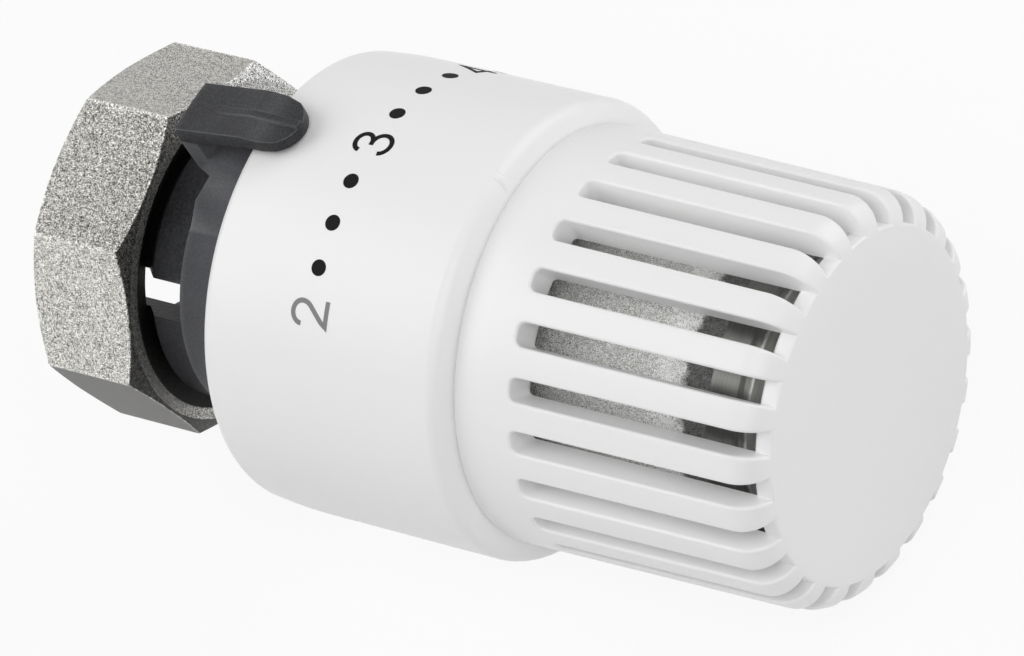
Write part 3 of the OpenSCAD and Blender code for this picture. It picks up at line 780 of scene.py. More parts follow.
class WheelShape:
    """Places of the handwheel that its patches share. The outer contour of a rib is counted by its length:
    straight from the shoulder to the nose, then round the nose's arc."""

    # Plain strips behind the slots on the outside and on the inside, in millimetres
    rear_strip, ring_strip = 2.2, 0.7

    def __init__(self):
        s = sizes("head_wheel")
        self.s = s
        self.start, self.end = low_mm("handwheel", 0), high_mm("handwheel", 0)
        self.skirt_r = -low_mm("handwheel", 2) - s.ink_lift
        self.skirt_bore = self.skirt_r - s.wall
        self.shoulder_x = self.start + s.skirt_len
        self.slot_x = self.shoulder_x + s.slot_start
        self.back_x = self.slot_x - self.rear_strip
        self.ring_end = self.slot_x - self.ring_strip
        self.disc_x = self.end - s.disc_t
        self.nose_x = self.end - s.nose_r
        self.half_sector = 180.0 / s.slots
        self.half_slot = s.slot_width / 2
        self.slope = (s.grille_front_r - s.grille_r) / (self.nose_x - self.shoulder_x)

    def contour(self, c):
        """Place, radius and outward normal at contour length c: a straight line that falls by the slope,
        then an arc of the nose's radius."""
        s = self.s
        a = np.clip((c - self.nose_x) / s.nose_r, 0, None)
        straight = s.grille_r + self.slope * (np.minimum(c, self.nose_x) - self.shoulder_x)
        x = np.where(a > 0, self.nose_x + s.nose_r * np.sin(a), c)
        r = straight - s.nose_r * (1 - np.cos(a))
        return x, r, np.sin(a), np.cos(a)

    def shoulder(self):
        """The shoulder's line from its foot to the skirt, and its outward normals: a sloped straight face,
        then an arc that turns into the skirt."""
        s = self.s
        k, last = s.shoulder_round, math.pi / 2 - s.shoulder_slope
        low = self.skirt_r - k + k * math.cos(last)
        run = (low - s.grille_r) * math.tan(s.shoulder_slope)
        a = np.linspace(last, 0, 12)
        centre = (self.shoulder_x - run - k * math.sin(last), self.skirt_r - k)
        arc = np.stack([centre[0] + k * np.sin(a), centre[1] + k * np.cos(a)], -1)
        t = np.linspace(0, 1, 4)[:-1, None]
        face = np.array([(self.shoulder_x, s.grille_r)]) * (1 - t) + arc[0] * t
        a = np.concatenate([np.full(len(face), last), a])
        return np.concatenate([face, arc]), np.stack([np.sin(a), np.cos(a)], -1)

    def slot_corner(self):
        """Contour length and distance from the slot's middle of the centre of the slot's rear corner."""
        return self.slot_x + self.s.slot_round, self.half_slot - self.s.slot_round

    def slot_edge(self, offset):
        """Edge of half a slot in the unrolled skin, pushed outwards by offset: across the rear end, round
        the corner, then along the side. Gives contour length and distance from the slot's middle."""
        corner_c, corner_y = self.slot_corner()
        rear_y = np.linspace(0, corner_y, REAR_POINTS)
        turn = np.radians(np.linspace(0, 90, CORNER_POINTS + 1))[1:]
        side = self.side_stations()
        radius = self.s.slot_round + offset
        rear_c = np.full(REAR_POINTS, self.slot_x - offset)
        c = np.concatenate([rear_c, corner_c - radius * np.cos(turn), side])
        wide = np.full(len(side), self.half_slot + offset)
        return c, np.concatenate([rear_y, corner_y + radius * np.sin(turn), wide])

    def side_stations(self):
        """Contour lengths along the straight side of a slot and round the nose, to where the ribs meet the
        disc."""
        s = self.s
        straight = np.linspace(self.slot_corner()[0], self.nose_x, SIDE_POINTS + 1)[1:]
        meet_r = s.disc_r - 1.5 * s.disc_edge
        last = math.acos((meet_r - s.grille_front_r + s.nose_r) / s.nose_r)
        round_nose = self.nose_x + s.nose_r * np.linspace(0, last, 15)[1:]
        return np.concatenate([straight, round_nose])

    def frame_edge(self):
        """Outline of half a sector in the unrolled skin, matched point by point to slot_edge: along the
        rear line and then along the middle of the rib."""
        half = math.sin(math.radians(self.half_sector))
        corner_c, corner_y = self.slot_corner()
        rear_half = self.contour(np.array([self.back_x]))[1][0] * half
        rear_y = np.linspace(0, corner_y, REAR_POINTS)
        up = np.linspace(corner_y, rear_half, REAR_LINE - REAR_POINTS + 1)[1:]
        along = np.linspace(self.back_x, corner_c, SIDE_START - REAR_LINE + 1)[1:]
        on_rib = np.concatenate([along, self.side_stations()])
        c = np.concatenate([np.full(REAR_LINE, self.back_x), on_rib])
        return c, np.concatenate([rear_y, up, self.contour(on_rib)[1] * half])


def grille_half(shape):
    """Half a sector of the grille as rows of points: the skin from the sector's outline to the slot, the
    rounded edge, the slot's wall, and the inner surface back to the outline. Row j, column s; across is the
    distance from the slot's middle plane. Gives also the angles of the columns on the rear line."""
    s = shape.s
    rows = []
    thirds = (0.0, 0.33, 0.67, 1.0)
    stretch_len, disc_grip = 1.0, 0.25

    def skin(c, y, drop=0.0):
        x, r, nx, nr = shape.contour(c)
        r2 = r - drop * nr
        return np.stack([x - drop * nx, y, np.sqrt(r2**2 - y**2)], -1)

    frame_c, frame_y = shape.frame_edge()
    edge_c, edge_y = shape.slot_edge(s.rib_round)
    for t in thirds:
        rows.append(skin(frame_c * (1 - t) + edge_c * t, frame_y * (1 - t) + edge_y * t))
    for beta in np.radians(np.linspace(0, 90, 8))[1:]:
        c, y = shape.slot_edge(s.rib_round * (1 - math.sin(beta)))
        rows.append(skin(c, y, s.rib_round * (1 - math.cos(beta))))
    wall_top = rows[-1]
    c, y = shape.slot_edge(0.0)
    bend_c = shape.nose_x - stretch_len
    stretch = (shape.disc_x + disc_grip - bend_c) / (c[-1] - bend_c)
    foot_x = np.where(c <= bend_c, c, bend_c + stretch * (c - bend_c))
    foot = np.stack([foot_x, y, np.sqrt(s.grille_bore**2 - y**2)], -1)
    for t in thirds[1:]:
        rows.append(wall_top * (1 - t) + foot * t)
    angle = np.arcsin(np.clip(frame_y / shape.contour(frame_c)[1], -1, 1))
    side_x = foot_x[SIDE_START:]
    along = np.linspace(shape.ring_end, side_x[0], SIDE_START - REAR_LINE + 2)[1:-1]
    inner_x = np.concatenate([np.full(REAR_LINE, shape.ring_end), along, side_x])
    foot_angle = np.arcsin(foot[:, 1] / s.grille_bore)
    for x, turn in (((inner_x + foot_x) / 2, (angle + foot_angle) / 2), (inner_x, angle)):
        rows.append(np.stack([x, s.grille_bore * np.sin(turn), s.grille_bore * np.cos(turn)], -1))
    return np.stack(rows), np.degrees(angle[:REAR_LINE])


def wheel_outer_profile(shape):
    """Outer profile of the wheel from the back line of the grille to the open rear edge: a fine groove at
    the shoulder's foot, the shoulder, the straight skirt, and a crown that draws in to a rounded rear
    edge."""
    s = shape.s
    lip = 0.34
    groove = np.array([(lip, 0.0), (0.25, 0.03), (0.2, 0.12), (0.18, s.groove), (0.02, s.groove)])
    back_r, foot_r = shape.contour(np.array([shape.back_x, shape.shoulder_x + lip]))[1]
    groove = np.stack([shape.shoulder_x + groove[:, 0], foot_r - groove[:, 1]], -1)
    shoulder = shape.shoulder()[0]
    crown_start = shape.start + s.crown_len
    straight = np.linspace(shoulder[-1][0], crown_start, 6)[1:]
    skirt = np.stack([straight, np.full(len(straight), shape.skirt_r)], -1)
    t = np.linspace(0, 1, 9)[1:]
    rear_x = shape.start + s.skirt_edge
    crown = np.stack([crown_start + (rear_x - crown_start) * t, shape.skirt_r - s.crown * t**2], -1)
    edge = arc_points((rear_x, shape.skirt_r - s.crown - s.skirt_edge), s.skirt_edge, 0, -90, 9)[1:]
    return np.concatenate([[(shape.back_x, back_r)], groove, shoulder, skirt, crown, edge])


def wheel_inner_profile(shape):
    """Inner profile of the wheel from its open rear edge to the back of the grille: skirt, boss, seat of
    the slip washer, groove of the retaining ring and the bore round the holder."""
    s = shape.s
    rear_chamfer, boss_chamfer, thread_chamfer = 0.2, 0.3, 0.6
    roof_long, roof_short = 1.6, 0.4
    seat_t, seat_step = 2.0, 1.26
    holder_gap, ring_gap = 0.15, 0.05
    bore, boss_bore = shape.skirt_bore, s.boss_r - s.boss_wall
    boss_x = shape.start + s.boss_start
    seat_x = low_mm("thrust_washer", 0)
    seat_bore = boss_bore - seat_step
    holder_bore = high_mm("sensor_holder", 1) + holder_gap
    ring_x, ring_end = low_mm("holder_ring", 0) - ring_gap, high_mm("holder_ring", 0) + ring_gap
    groove_r = high_mm("holder_ring", 1) + ring_gap
    roof_x = shape.shoulder_x - s.wall
    return np.array([
        (shape.start, bore + rear_chamfer),
        (shape.start + rear_chamfer, bore),
        (roof_x - roof_long, bore),
        (roof_x - roof_short, s.boss_r),
        (boss_x + boss_chamfer, s.boss_r),
        (boss_x, s.boss_r - boss_chamfer),
        (boss_x, boss_bore + thread_chamfer),
        (boss_x + thread_chamfer, boss_bore),
        (seat_x - seat_t, boss_bore),
        (seat_x - seat_t, seat_bore),
        (seat_x, seat_bore),
        (seat_x, holder_bore),
        (ring_x, holder_bore),
        (ring_x, groove_r),
        (ring_end, groove_r),
        (ring_end, holder_bore),
        (shape.ring_end, holder_bore),
        (shape.ring_end, s.grille_bore),
    ])


def wheel_shells(shape):
    """All surfaces of the handwheel: the turned skirt, the grille's sectors and the end disc."""
    s = shape.s
    rows, rear_angles = grille_half(shape)
    count, columns = rows.shape[:2]
    turns = shape.half_sector + np.arange(s.slots) * 2 * shape.half_sector
    quads = grid_faces(count, columns)
    shells = []
    for side in (1.0, -1.0):
        for turn in turns:
            shells.append((place(rows[..., 0], side * rows[..., 1], rows[..., 2], turn), quads))
    x, across, up = rows[:, -1].T
    for turn in turns:
        ends = [place(x, across, up, turn), place(x, -across, up, turn + 2 * shape.half_sector)]
        shells.append((np.stack(ends), grid_faces(2, count)))
    half = np.concatenate([-rear_angles[:0:-1], rear_angles[:-1]])
    angles = (turns[:, None] + half[None, :]).reshape(-1)
    profile = np.concatenate([wheel_outer_profile(shape), wheel_inner_profile(shape)])
    shells.append(revolve(profile, angles))
    shells.append(revolve(disc_profile(shape), np.arange(0, 360, 1.25)))
    return shells


def disc_profile(shape):
    """Profile of the end disc, from its inner face over the rounded edge to the middle of its outer
    face."""
    e, r = shape.s.disc_edge, shape.s.disc_r
    rim_len = 1.2
    side_x = shape.end - rim_len
    return np.concatenate([
        [(shape.disc_x, 0.0), (shape.disc_x, r - e), (shape.disc_x + e, r), (side_x, r)],
        arc_points((shape.end - e, r - e), e, 0, 90, 6),
        [(shape.end, r * share) for share in (0.75, 0.5, 0.25, 0.0)],
    ])


def stop_rib_shell(shape):
    """The wheel's inner stop: a curved block between two radii and two angles, set a little into the boss,
    the skirt and the shoulder."""
    s = shape.s
    set_in, middle, half_width, count = 0.2, 45.0, 19.0, 20
    low, high = s.boss_r - set_in, shape.skirt_bore + set_in
    rear, front = shape.start + 8.0, shape.shoulder_x - s.wall - 1.4
    angles = middle + np.linspace(-half_width, half_width, count)
    x, r = np.array([(rear, low), (rear, high), (front, high), (front, low)]).T
    points = place(x[:, None], 0.0, r[:, None], angles[None, :])
    side = grid_faces(len(x), count, close_rows=True)
    first = np.arange(len(x)) * count
    return points.reshape(-1, 3), np.concatenate([side, [first, first + count - 1]])


def ridge_shell(shape):
    """A low rounded line across the shoulder at the rest mark: the shoulder's own line carried sideways,
    raised by a power of a half sine across and along."""
    width, height, depth, power = 1.0, 0.16, 0.4, 0.4
    path, normal = (line[1:-3] for line in shape.shoulder())
    t = np.linspace(0, 1, 9)
    across = ((t - 0.5) * width)[None, :]
    fade = np.sin(np.pi * np.linspace(0.08, 0.92, len(path))) ** power
    lift = height * np.sin(np.pi * t) ** power * fade[:, None]
    sheets = []
    for level in (lift, np.full(lift.shape, -depth)):
        x = path[:, :1] + normal[:, :1] * level
        r = path[:, 1:] + normal[:, 1:] * level
        sheets.append(place(x, across, np.sqrt(r**2 - across**2)))
    return closed_slab(*sheets)


def closed_slab(top, base):
    """Closes two matching grids of points with walls along their four edges."""
    rows, columns = top.shape[:2]
    n = rows * columns
    ids = np.arange(n).reshape(rows, columns)
    ring = np.concatenate([ids[0, :-1], ids[:-1, -1], ids[-1, :0:-1], ids[:0:-1, 0]])
    after = np.roll(ring, -1)
    walls = np.stack([ring, after, after + n, ring + n], -1)
    points = np.concatenate([top.reshape(-1, 3), base.reshape(-1, 3)])
    base_faces = grid_faces(rows, columns, start=n)[:, ::-1]
    return points, np.concatenate([grid_faces(rows, columns), base_faces, walls])


# ---------------------------------------------------------------------------
# Dial

DIGIT_HEIGHT = 4.4


def oval(cu, cv, a, b, start, stop, count=28):
    """Points of an oval with half-axes a and b, from one angle to another."""
    t = np.radians(np.linspace(start, stop, count))
    return np.stack([cu + a * np.cos(t), cv + b * np.sin(t)], -1)


def digit_strokes(sign):
    """Centre lines of a sign that is DIGIT_HEIGHT high with its strokes, as lists of points round the row's
    middle. The frost sign is a star of three lines."""
    top, base = 1.98, -1.93
    if sign == "0":
        return [oval(0, 0.02, 1.3, 1.96, 90, 450, 49)]
    if sign == "1":
        return [np.array([(-0.6, 1.3), (0.2, top), (0.2, base)])]
    if sign == "2":
        bowl = [oval(0.05, 0.95, 1.14, 1.03, 180, 0, 20), oval(0.05, 0.95, 1.14, 1.25, -4, -47.6, 9)]
        return [np.concatenate(bowl + [[(-0.59, -1.38), (-0.95, base), (1.58, base)]])]
    if sign == "3":
        upper = np.concatenate([oval(0.03, 1.08, 1.06, 0.9, 176, -90, 28), [(-0.17, 0.18)]])
        return [upper, oval(0.16, -0.91, 1.18, 1.09, 90, -173, 30)]
    if sign == "4":
        return [np.array([(1.3, -0.85), (-1.25, -0.85), (0.65, top), (0.65, base)])]
    if sign == "5":
        bowl = oval(0.1, -0.72, 1.2, 1.24, 140, -158, 30)
        return [np.concatenate([[(1.1, top), (-0.75, top)], bowl])]
    reach = 1.6 * np.array([[-1.0], [1.0]])
    return [reach * np.array([[math.cos(a), math.sin(a)]]) for a in np.radians([90, 30, -30])]


def ribbon(path, width):
    """Left and right edges of a flat stroke along a path, with mitred corners. Long straight runs get
    points in short steps, so that the stroke can lie on the round skirt."""
    longest_step, least_cosine = 0.25, 0.3
    parts = []
    for a, b in zip(path[:-1], path[1:]):
        count = max(1, math.ceil(np.linalg.norm(b - a) / longest_step))
        parts.append(a + (b - a) * np.arange(count)[:, None] / count)
    path = np.concatenate(parts + [path[-1:]])
    step = np.diff(path, axis=0)
    step /= np.linalg.norm(step, axis=1)[:, None]
    before, after = np.concatenate([step[:1], step]), np.concatenate([step, step[-1:]])
    normal = np.stack([-(before + after)[:, 1], (before + after)[:, 0]], -1)
    normal /= np.linalg.norm(normal, axis=1)[:, None]
    side = np.stack([-before[:, 1], before[:, 0]], -1)
    reach = width / 2 / np.clip((normal * side).sum(1), least_cosine, 1)
    return path + normal * reach[:, None], path - normal * reach[:, None]


def dial_shell(left, right, row_x, angle, radius, lift):
    """Lays a flat shape on the skirt: its width runs against the angle and its height against the X axis;
    the plate stands `lift` above and is set a little into the skirt."""
    set_in = 0.1
    flat = np.stack([left, right], 1)
    x = row_x - flat[..., 1]
    turn = angle - np.degrees(flat[..., 0] / radius)
    top = place(x, 0.0, radius + lift, turn)
    base = place(x, 0.0, radius - set_in, turn)
    return closed_slab(top, base)


# ---------------------------------------------------------------------------
# Union nut

# Painted light of the flats: shares of the nickel's brightness and of its grain's contrast for the flats
# of half the nut, for the light that each flat catches; the other half repeats them
FACET_PAINTED_LIGHT = ((0.6, 1.5), (0.84, 1.1), (0.17, 0.7), (0.54, 0.9))
FLATS = 8
# Rows of points that each rounded corner of the nut's profile has
ROUND_ROWS = 4


def nut_outline(s):
    """Angles and radii of the octagon: between two corners the radius is the apothem over the cosine, and
    near a corner it follows a small circle. Gives also which angles lie on a rounded corner."""
    apothem, eighth = s.flats / 2, math.pi / FLATS
    inner_corner = (apothem - s.corner_round) / math.cos(eighth)
    limit = math.atan2(s.corner_round * math.sin(eighth), inner_corner + s.corner_round * math.cos(eighth))
    on_corner = np.linspace(0, limit, 4)[:-1]
    on_flat = np.radians([1.0, 2.0, 3.5, 5.5, 8.0, 11.0, 14.0, 17.0, 20.0])
    quarter = np.concatenate([on_corner, on_flat])
    psi = np.concatenate([quarter, [eighth], 2 * eighth - quarter[:0:-1]])
    near = np.minimum(psi, 2 * eighth - psi)
    bend = np.sqrt(np.clip(s.corner_round**2 - (inner_corner * np.sin(near)) ** 2, 0, None))
    outer = np.where(near < limit, inner_corner * np.cos(near) + bend, apothem / np.cos(psi - eighth))
    angles = (s.turn + np.degrees(psi)[None, :] + 360.0 / FLATS * np.arange(FLATS)[:, None]).reshape(-1)
    return angles, np.tile(outer, FLATS), np.tile(near < limit, FLATS)


def nut_shell():
    """The octagonal nut as one grid: the chamfers are cones that cut the outline. Inside run the mouth's
    cone, the lip, the undercut and a helical thread whose depth is a clipped triangle wave of x over pitch
    less the share of a turn. Gives also the marks for the finish, which are mostly painted light and shade."""
    s = sizes("head_nut")
    end, start = high_mm("union_nut", 0), low_mm("union_nut", 0)
    angles, outer, on_corner = nut_outline(s)
    corner_r = s.flats / 2 / math.cos(math.pi / FLATS)
    cut = (outer - s.ring_r) / (corner_r - s.ring_r)
    full = np.ones(len(angles))
    mouth_x = end - s.mouth_len
    lip_x = mouth_x - s.lip_len
    under_x = lip_x - s.undercut_len
    bevel, clearance, edge_round = 1.2, 0.1, 0.16
    root_r = s.thread_r + s.thread_depth + clearance
    corners = [
        (start * full, s.ring_r - bevel), (start * full, s.ring_r), (start + s.rear_chamfer * cut, outer),
        (end - s.front_chamfer * cut, outer), (end * full, s.ring_r), (end * full, s.mouth_r),
        (mouth_x * full, s.lip_r), (lip_x * full, s.lip_r),
    ]
    shell = round_rows(np.stack([np.stack([x, r * full], -1) for x, r in corners]), edge_round)
    steps = [
        (lip_x, s.lip_r + clearance), (lip_x, s.undercut_r), (under_x, s.undercut_r), (under_x, root_r),
    ]
    steps = np.array(steps)[:, None, :] * full[None, :, None]
    thread_rows = 58
    along = np.linspace(under_x, start, thread_rows)[:, None]
    wave = ((along - start) / s.pitch - angles[None, :] / 360.0) % 1.0
    ridge = np.clip(np.abs(wave - 0.5) * 2.5 - 0.125, 0, 1)
    thread = np.maximum(s.thread_r + s.thread_depth * ridge, root_r - (along - start))
    thread = np.stack([along * full, thread], -1)
    grid = np.concatenate([shell, steps, thread])
    points = place(grid[..., 0], 0.0, grid[..., 1], angles[None, :])
    faces = grid_faces(*grid.shape[:2], close_rows=True, close_columns=True)
    return points.reshape(-1, 3), faces, nut_marks(s, angles, on_corner, len(grid))


def nut_marks(s, angles, on_corner, rows):
    """Marks of the nut's finish, mostly painted light and shade. Each flat has its own painted brightness
    and grain. The front chamfer has painted shade and a painted highlight round one side by the fourth
    power of a cosine; the front face has painted light round the other side too, by the sixth power; the
    mouth's cone has painted shade. Edge shows the worn corners and the edges of the two chamfers, with a
    painted highlight."""
    looks = np.array(FACET_PAINTED_LIGHT)[np.arange(FLATS) % len(FACET_PAINTED_LIGHT)]
    flats = np.repeat(looks, len(angles) // FLATS, axis=0).T
    tone, grain = flats[:, None, :] * np.ones((2, rows, 1))

    def facing(side, power):
        return np.clip(np.cos(np.radians(angles - side)), 0, 1) ** power

    rear, front, face, cone, bore = (ROUND_ROWS * corner - 1 for corner in range(2, 7))
    rim_grain, inner_grain, painted_cone_shade, wear_and_highlight = 2.2, 1.4, 0.02, 0.35
    # Painted shade on the chamfer, the face and the bore, with a painted highlight round one side of the
    # chamfer and round two sides of the face
    bright, second_side = facing(s.bright_side, 4), s.bright_side + 210.0
    tone[front:face] = s.rim_tone + 1.5 * bright
    tone[face:], grain[face:] = 2.5 * s.rim_tone + bright, inner_grain
    tone[face:cone] += 0.9 * facing(second_side, 6)
    grain[front:cone] = rim_grain
    # Painted shade in the mouth's cone
    tone[cone:bore] = painted_cone_shade
    # Worn corners and chamfer edges, lightened by wear and a painted highlight
    edge = np.zeros((rows, len(angles)))
    edge[:, on_corner] = wear_and_highlight
    edge[[rear - 1, rear, front - 1, front]] = wear_and_highlight
    edge[front + 1:] = 0.0
    return {"tone": tone, "grain": grain, "edge": edge}


def round_rows(rows, size):
    """Rounds the corners of many profiles at once: each inner row becomes a quadratic curve between points
    `size` before and after it."""
    out = [rows[:1]]
    t = np.linspace(0, 1, ROUND_ROWS)[:, None, None]
    for n in range(1, len(rows) - 1):
        b, a, p = rows[n - 1] - rows[n], rows[n + 1] - rows[n], rows[n]
        lb, la = np.linalg.norm(b, axis=-1, keepdims=True), np.linalg.norm(a, axis=-1, keepdims=True)
        cut = np.minimum(size, np.minimum(lb, la) / 3)
        first, last = p + b / np.maximum(lb, 1e-9) * cut, p + a / np.maximum(la, 1e-9) * cut
        out.append((1 - t) ** 2 * first[None] + 2 * t * (1 - t) * p[None] + t**2 * last[None])
    out.append(rows[-1:])
    return np.concatenate(out)


# ---------------------------------------------------------------------------
# Carrier and pointer


class PointerShape:
    """The pointer's places and surfaces. Its plan is a strip closed by half an oval; u counts 0 to 1 from
    the root to the crest and 1 to 2 from there to the oval, and v counts -1 to 1 across."""

    line_start, line_high, ramp_fall, groove_deep = 3.6, 0.1, 0.3, 0.13
    # Width of the line's steep edges, place and width of the grooves beside it, and length of their fade
    line_soft, groove_at, groove_wide, groove_fade = 0.02, 0.24, 0.17, 1.2
    # How far the grooves and the underside's rise run past the crest
    past_crest = 0.4
    # Strength and width of the painted highlight on the line's edges, and strength, place and width of the
    # painted sheen past the crest
    line_rub, line_rub_wide = 1.6, 0.07
    crest_rub, crest_rub_at, crest_rub_wide = 0.9, 1.7, 1.6
    # Share of the inset by which the root's end is drawn in
    root_inset = 0.3

    def __init__(self):
        s = sizes("head_pointer")
        self.s = s
        self.root = high_mm("union_nut", 0) + s.root_gap
        self.tip, self.crest, self.half = self.root + s.length, self.root + s.crest, s.width / 2
        self.under_r = high_mm("handwheel", 1) + s.gap
        self.crest_r = self.under_r + s.thickness
        self.inset = s.draft + s.edge

    def plan(self, u, v, inset):
        """Place and distance from the middle plane, with the outline drawn in by inset."""
        front = self.tip - self.s.tip_len + (self.s.tip_len - inset) * np.sqrt(np.clip(1 - v**2, 0, 1))
        back = self.root + self.root_inset * inset
        x = np.where(u < 1, back + u * (self.crest - back), self.crest + (u - 1) * (front - self.crest))
        return x, v * (self.half - inset)

    def top(self, x, y):
        """Height of the top and its painted highlights. The radius about the head's axis grows evenly to
        the crest and then falls by a small ramp; a line with steep edges keeps the crest's height, and two
        narrow grooves lie beside its root. The line's edges get a painted highlight, and the top past the
        crest a painted sheen."""
        s, crest = self.s, self.crest
        line_x = self.root + self.line_start
        rise = s.rise * np.clip((crest - x) / s.crest, 0, 1)
        ramp = self.ramp_fall * np.clip((x - crest) / (self.tip - crest), 0, 1)
        away = np.abs(y - s.line_offset)
        beside = away - s.line_width / 2
        line = 1 / (1 + np.exp(beside / self.line_soft))
        on_line = np.clip((x - line_x) / (crest - line_x), 0, 1)
        fade = self.groove_fade
        window = np.clip((x - line_x) / fade, 0, 1) * np.clip((crest + self.past_crest - x) / fade, 0, 1)
        groove = self.groove_deep * np.exp(-(((beside - self.groove_at) / self.groove_wide) ** 2)) * window
        radius = self.crest_r - self.line_high - rise - ramp * (1 - line) + line * self.line_high * on_line
        # Painted highlight on the line's edges and painted sheen past the crest
        painted_highlight = self.line_rub * on_line * np.exp(-((beside / self.line_rub_wide) ** 2))
        past = x - crest - self.crest_rub_at
        painted_highlight += self.crest_rub * np.exp(-((past / self.crest_rub_wide) ** 2)) * (1 - line)
        return np.sqrt((radius - groove) ** 2 - y**2), painted_highlight

    def under(self, x):
        """Height of the underside, which rises evenly to its gap over the skirt."""
        share = (x - self.root) / (self.s.crest + self.past_crest)
        return self.under_r - self.s.under_rise * np.clip(1 - share, 0, 1)


def pointer_shell():
    """The pointer as one closed tongue: its top, a rounded edge, a wall that leans outwards by the draft, a
    second rounded edge and its underside. Gives also the marks of its painted highlights."""
    shape = PointerShape()
    s = shape.s
    near_line = [0, 0.2, 0.34, 0.4, 0.43, 0.46, 0.52, 0.6, 0.7, 0.8]
    stations = np.array(near_line + [0.95, 1.2, 1.6, 2.0, 2.35, 2.6])
    across = np.concatenate([-stations[:0:-1], stations]) + s.line_offset
    v = np.concatenate([[-1.0], across / (shape.half - shape.inset), [1.0]])
    u = np.concatenate([np.linspace(0, 1, 26), np.linspace(1, 2, 22)[1:]])
    uu, vv = np.meshgrid(u, v, indexing="ij")
    x, y = shape.plan(uu, vv, shape.inset)
    height, painted_highlight = shape.top(x, y)
    ids = np.arange(x.size).reshape(x.shape)
    loop = np.concatenate([ids[0, :-1], ids[:-1, -1], ids[-1, :0:-1], ids[:0:-1, 0]])
    lu, lv, lh = uu.reshape(-1)[loop], vv.reshape(-1)[loop], height.reshape(-1)[loop]
    rings = []
    for beta in np.radians(np.linspace(0, 90, 5))[1:]:
        px, py = shape.plan(lu, lv, s.draft + s.edge * (1 - math.sin(beta)))
        rings.append(np.stack([px, py, lh - s.edge * (1 - math.cos(beta))], -1))
    for beta in np.radians(np.linspace(0, 90, 4)):
        px, py = shape.plan(lu, lv, s.edge * (1 - math.cos(beta)))
        rings.append(np.stack([px, py, shape.under(px) + s.edge * (1 - math.sin(beta))], -1))
    bx, by = shape.plan(uu, vv, s.edge)
    top = np.stack([x, y, height], -1).reshape(-1, 3)
    base = np.stack([bx, by, shape.under(bx)], -1).reshape(-1, 3)
    points = np.concatenate([top, *rings, base])
    n, m = x.size, len(loop)
    base_start = n + len(rings) * m
    rows = [loop] + [n + k * m + np.arange(m) for k in range(len(rings))] + [base_start + loop]
    walls = [np.stack([a, np.roll(a, -1), np.roll(b, -1), b], -1) for a, b in zip(rows[:-1], rows[1:])]
    faces = [grid_faces(*x.shape)] + walls + [grid_faces(*x.shape, start=base_start)[:, ::-1]]
    # Painted highlight along the top's rounded edge
    rim_highlight = [0.9, 1.8, 0.9]
    rim = np.outer(rim_highlight + [0.0] * (len(rings) - len(rim_highlight)), np.ones(m))
    edge = np.concatenate([painted_highlight.reshape(-1), rim.reshape(-1), np.zeros(n)])
    return place(points[:, 0], points[:, 1], points[:, 2], s.turn), np.concatenate(faces), {"edge": edge}


def carrier_copy():
    """The carrier's own mesh up to the pointer's pillar: a plane square to the pointer cuts the arm off,
    and the cut is closed inside the new pointer. The marks paint light on the ring and paint shade on the
    walls of the slots behind it, whose normals point neither along the X axis nor away from it."""
    s = sizes("head_pointer")
    set_in, join = 0.2, 2e-6
    painted_ring_light, painted_slot_shade = 1.8, -0.95
    turn = math.radians(s.turn)
    up = Vector((0.0, -math.sin(turn), math.cos(turn)))
    cut = (high_mm("handwheel", 1) + s.gap - s.under_rise + set_in) * MM
    shell = bmesh.new()
    shell.from_mesh(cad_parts["base_carrier"].data)
    bmesh.ops.remove_doubles(shell, verts=shell.verts, dist=join)
    parts = shell.verts[:] + shell.edges[:] + shell.faces[:]
    bmesh.ops.bisect_plane(shell, geom=parts, plane_co=up * cut, plane_no=up, clear_outer=True)
    bmesh.ops.holes_fill(shell, edges=[e for e in shell.edges if e.is_boundary], sides=0)
    mesh = bpy.data.meshes.new("carrier_moulding")
    made = finish_mesh("carrier_moulding", mesh, shell, "base", 30)
    places, normals = (read_vectors(mesh.polygons, name) for name in ("center", "normal"))
    outward = np.abs((normals * places)[:, 1:].sum(1))
    wall = (np.abs(normals[:, 0]) < 0.3) & (outward < 0.7 * np.hypot(places[:, 1], places[:, 2]))
    ring = places[:, 0] > (high_mm("union_nut", 0) + s.root_gap) * MM
    # Painted light on the ring and painted shade on the slot walls, kept in the edge attribute
    shade = np.where(ring, painted_ring_light, np.where(wall, painted_slot_shade, 0.0))
    mesh.attributes.new("edge", "FLOAT", "FACE").data.foreach_set("value", shade.astype(np.float32))
    return made


def read_vectors(items, name):
    """One vector property of all items of a mesh, as rows."""
    values = np.empty(len(items) * 3, np.float32)
    items.foreach_get(name, values)
    return values.reshape(-1, 3).astype(float)


# ---------------------------------------------------------------------------
# Operators


def seen_rays(tree):
    """1 for rays from the camera and for mirrored and transmitted rays, else 0."""
    path = tree.nodes.new("ShaderNodeLightPath")
    mirrored = maths(tree, "MAXIMUM", path.outputs["Is Glossy Ray"], path.outputs["Is Transmission Ray"])
    return maths(tree, "MAXIMUM", path.outputs["Is Camera Ray"], mirrored)


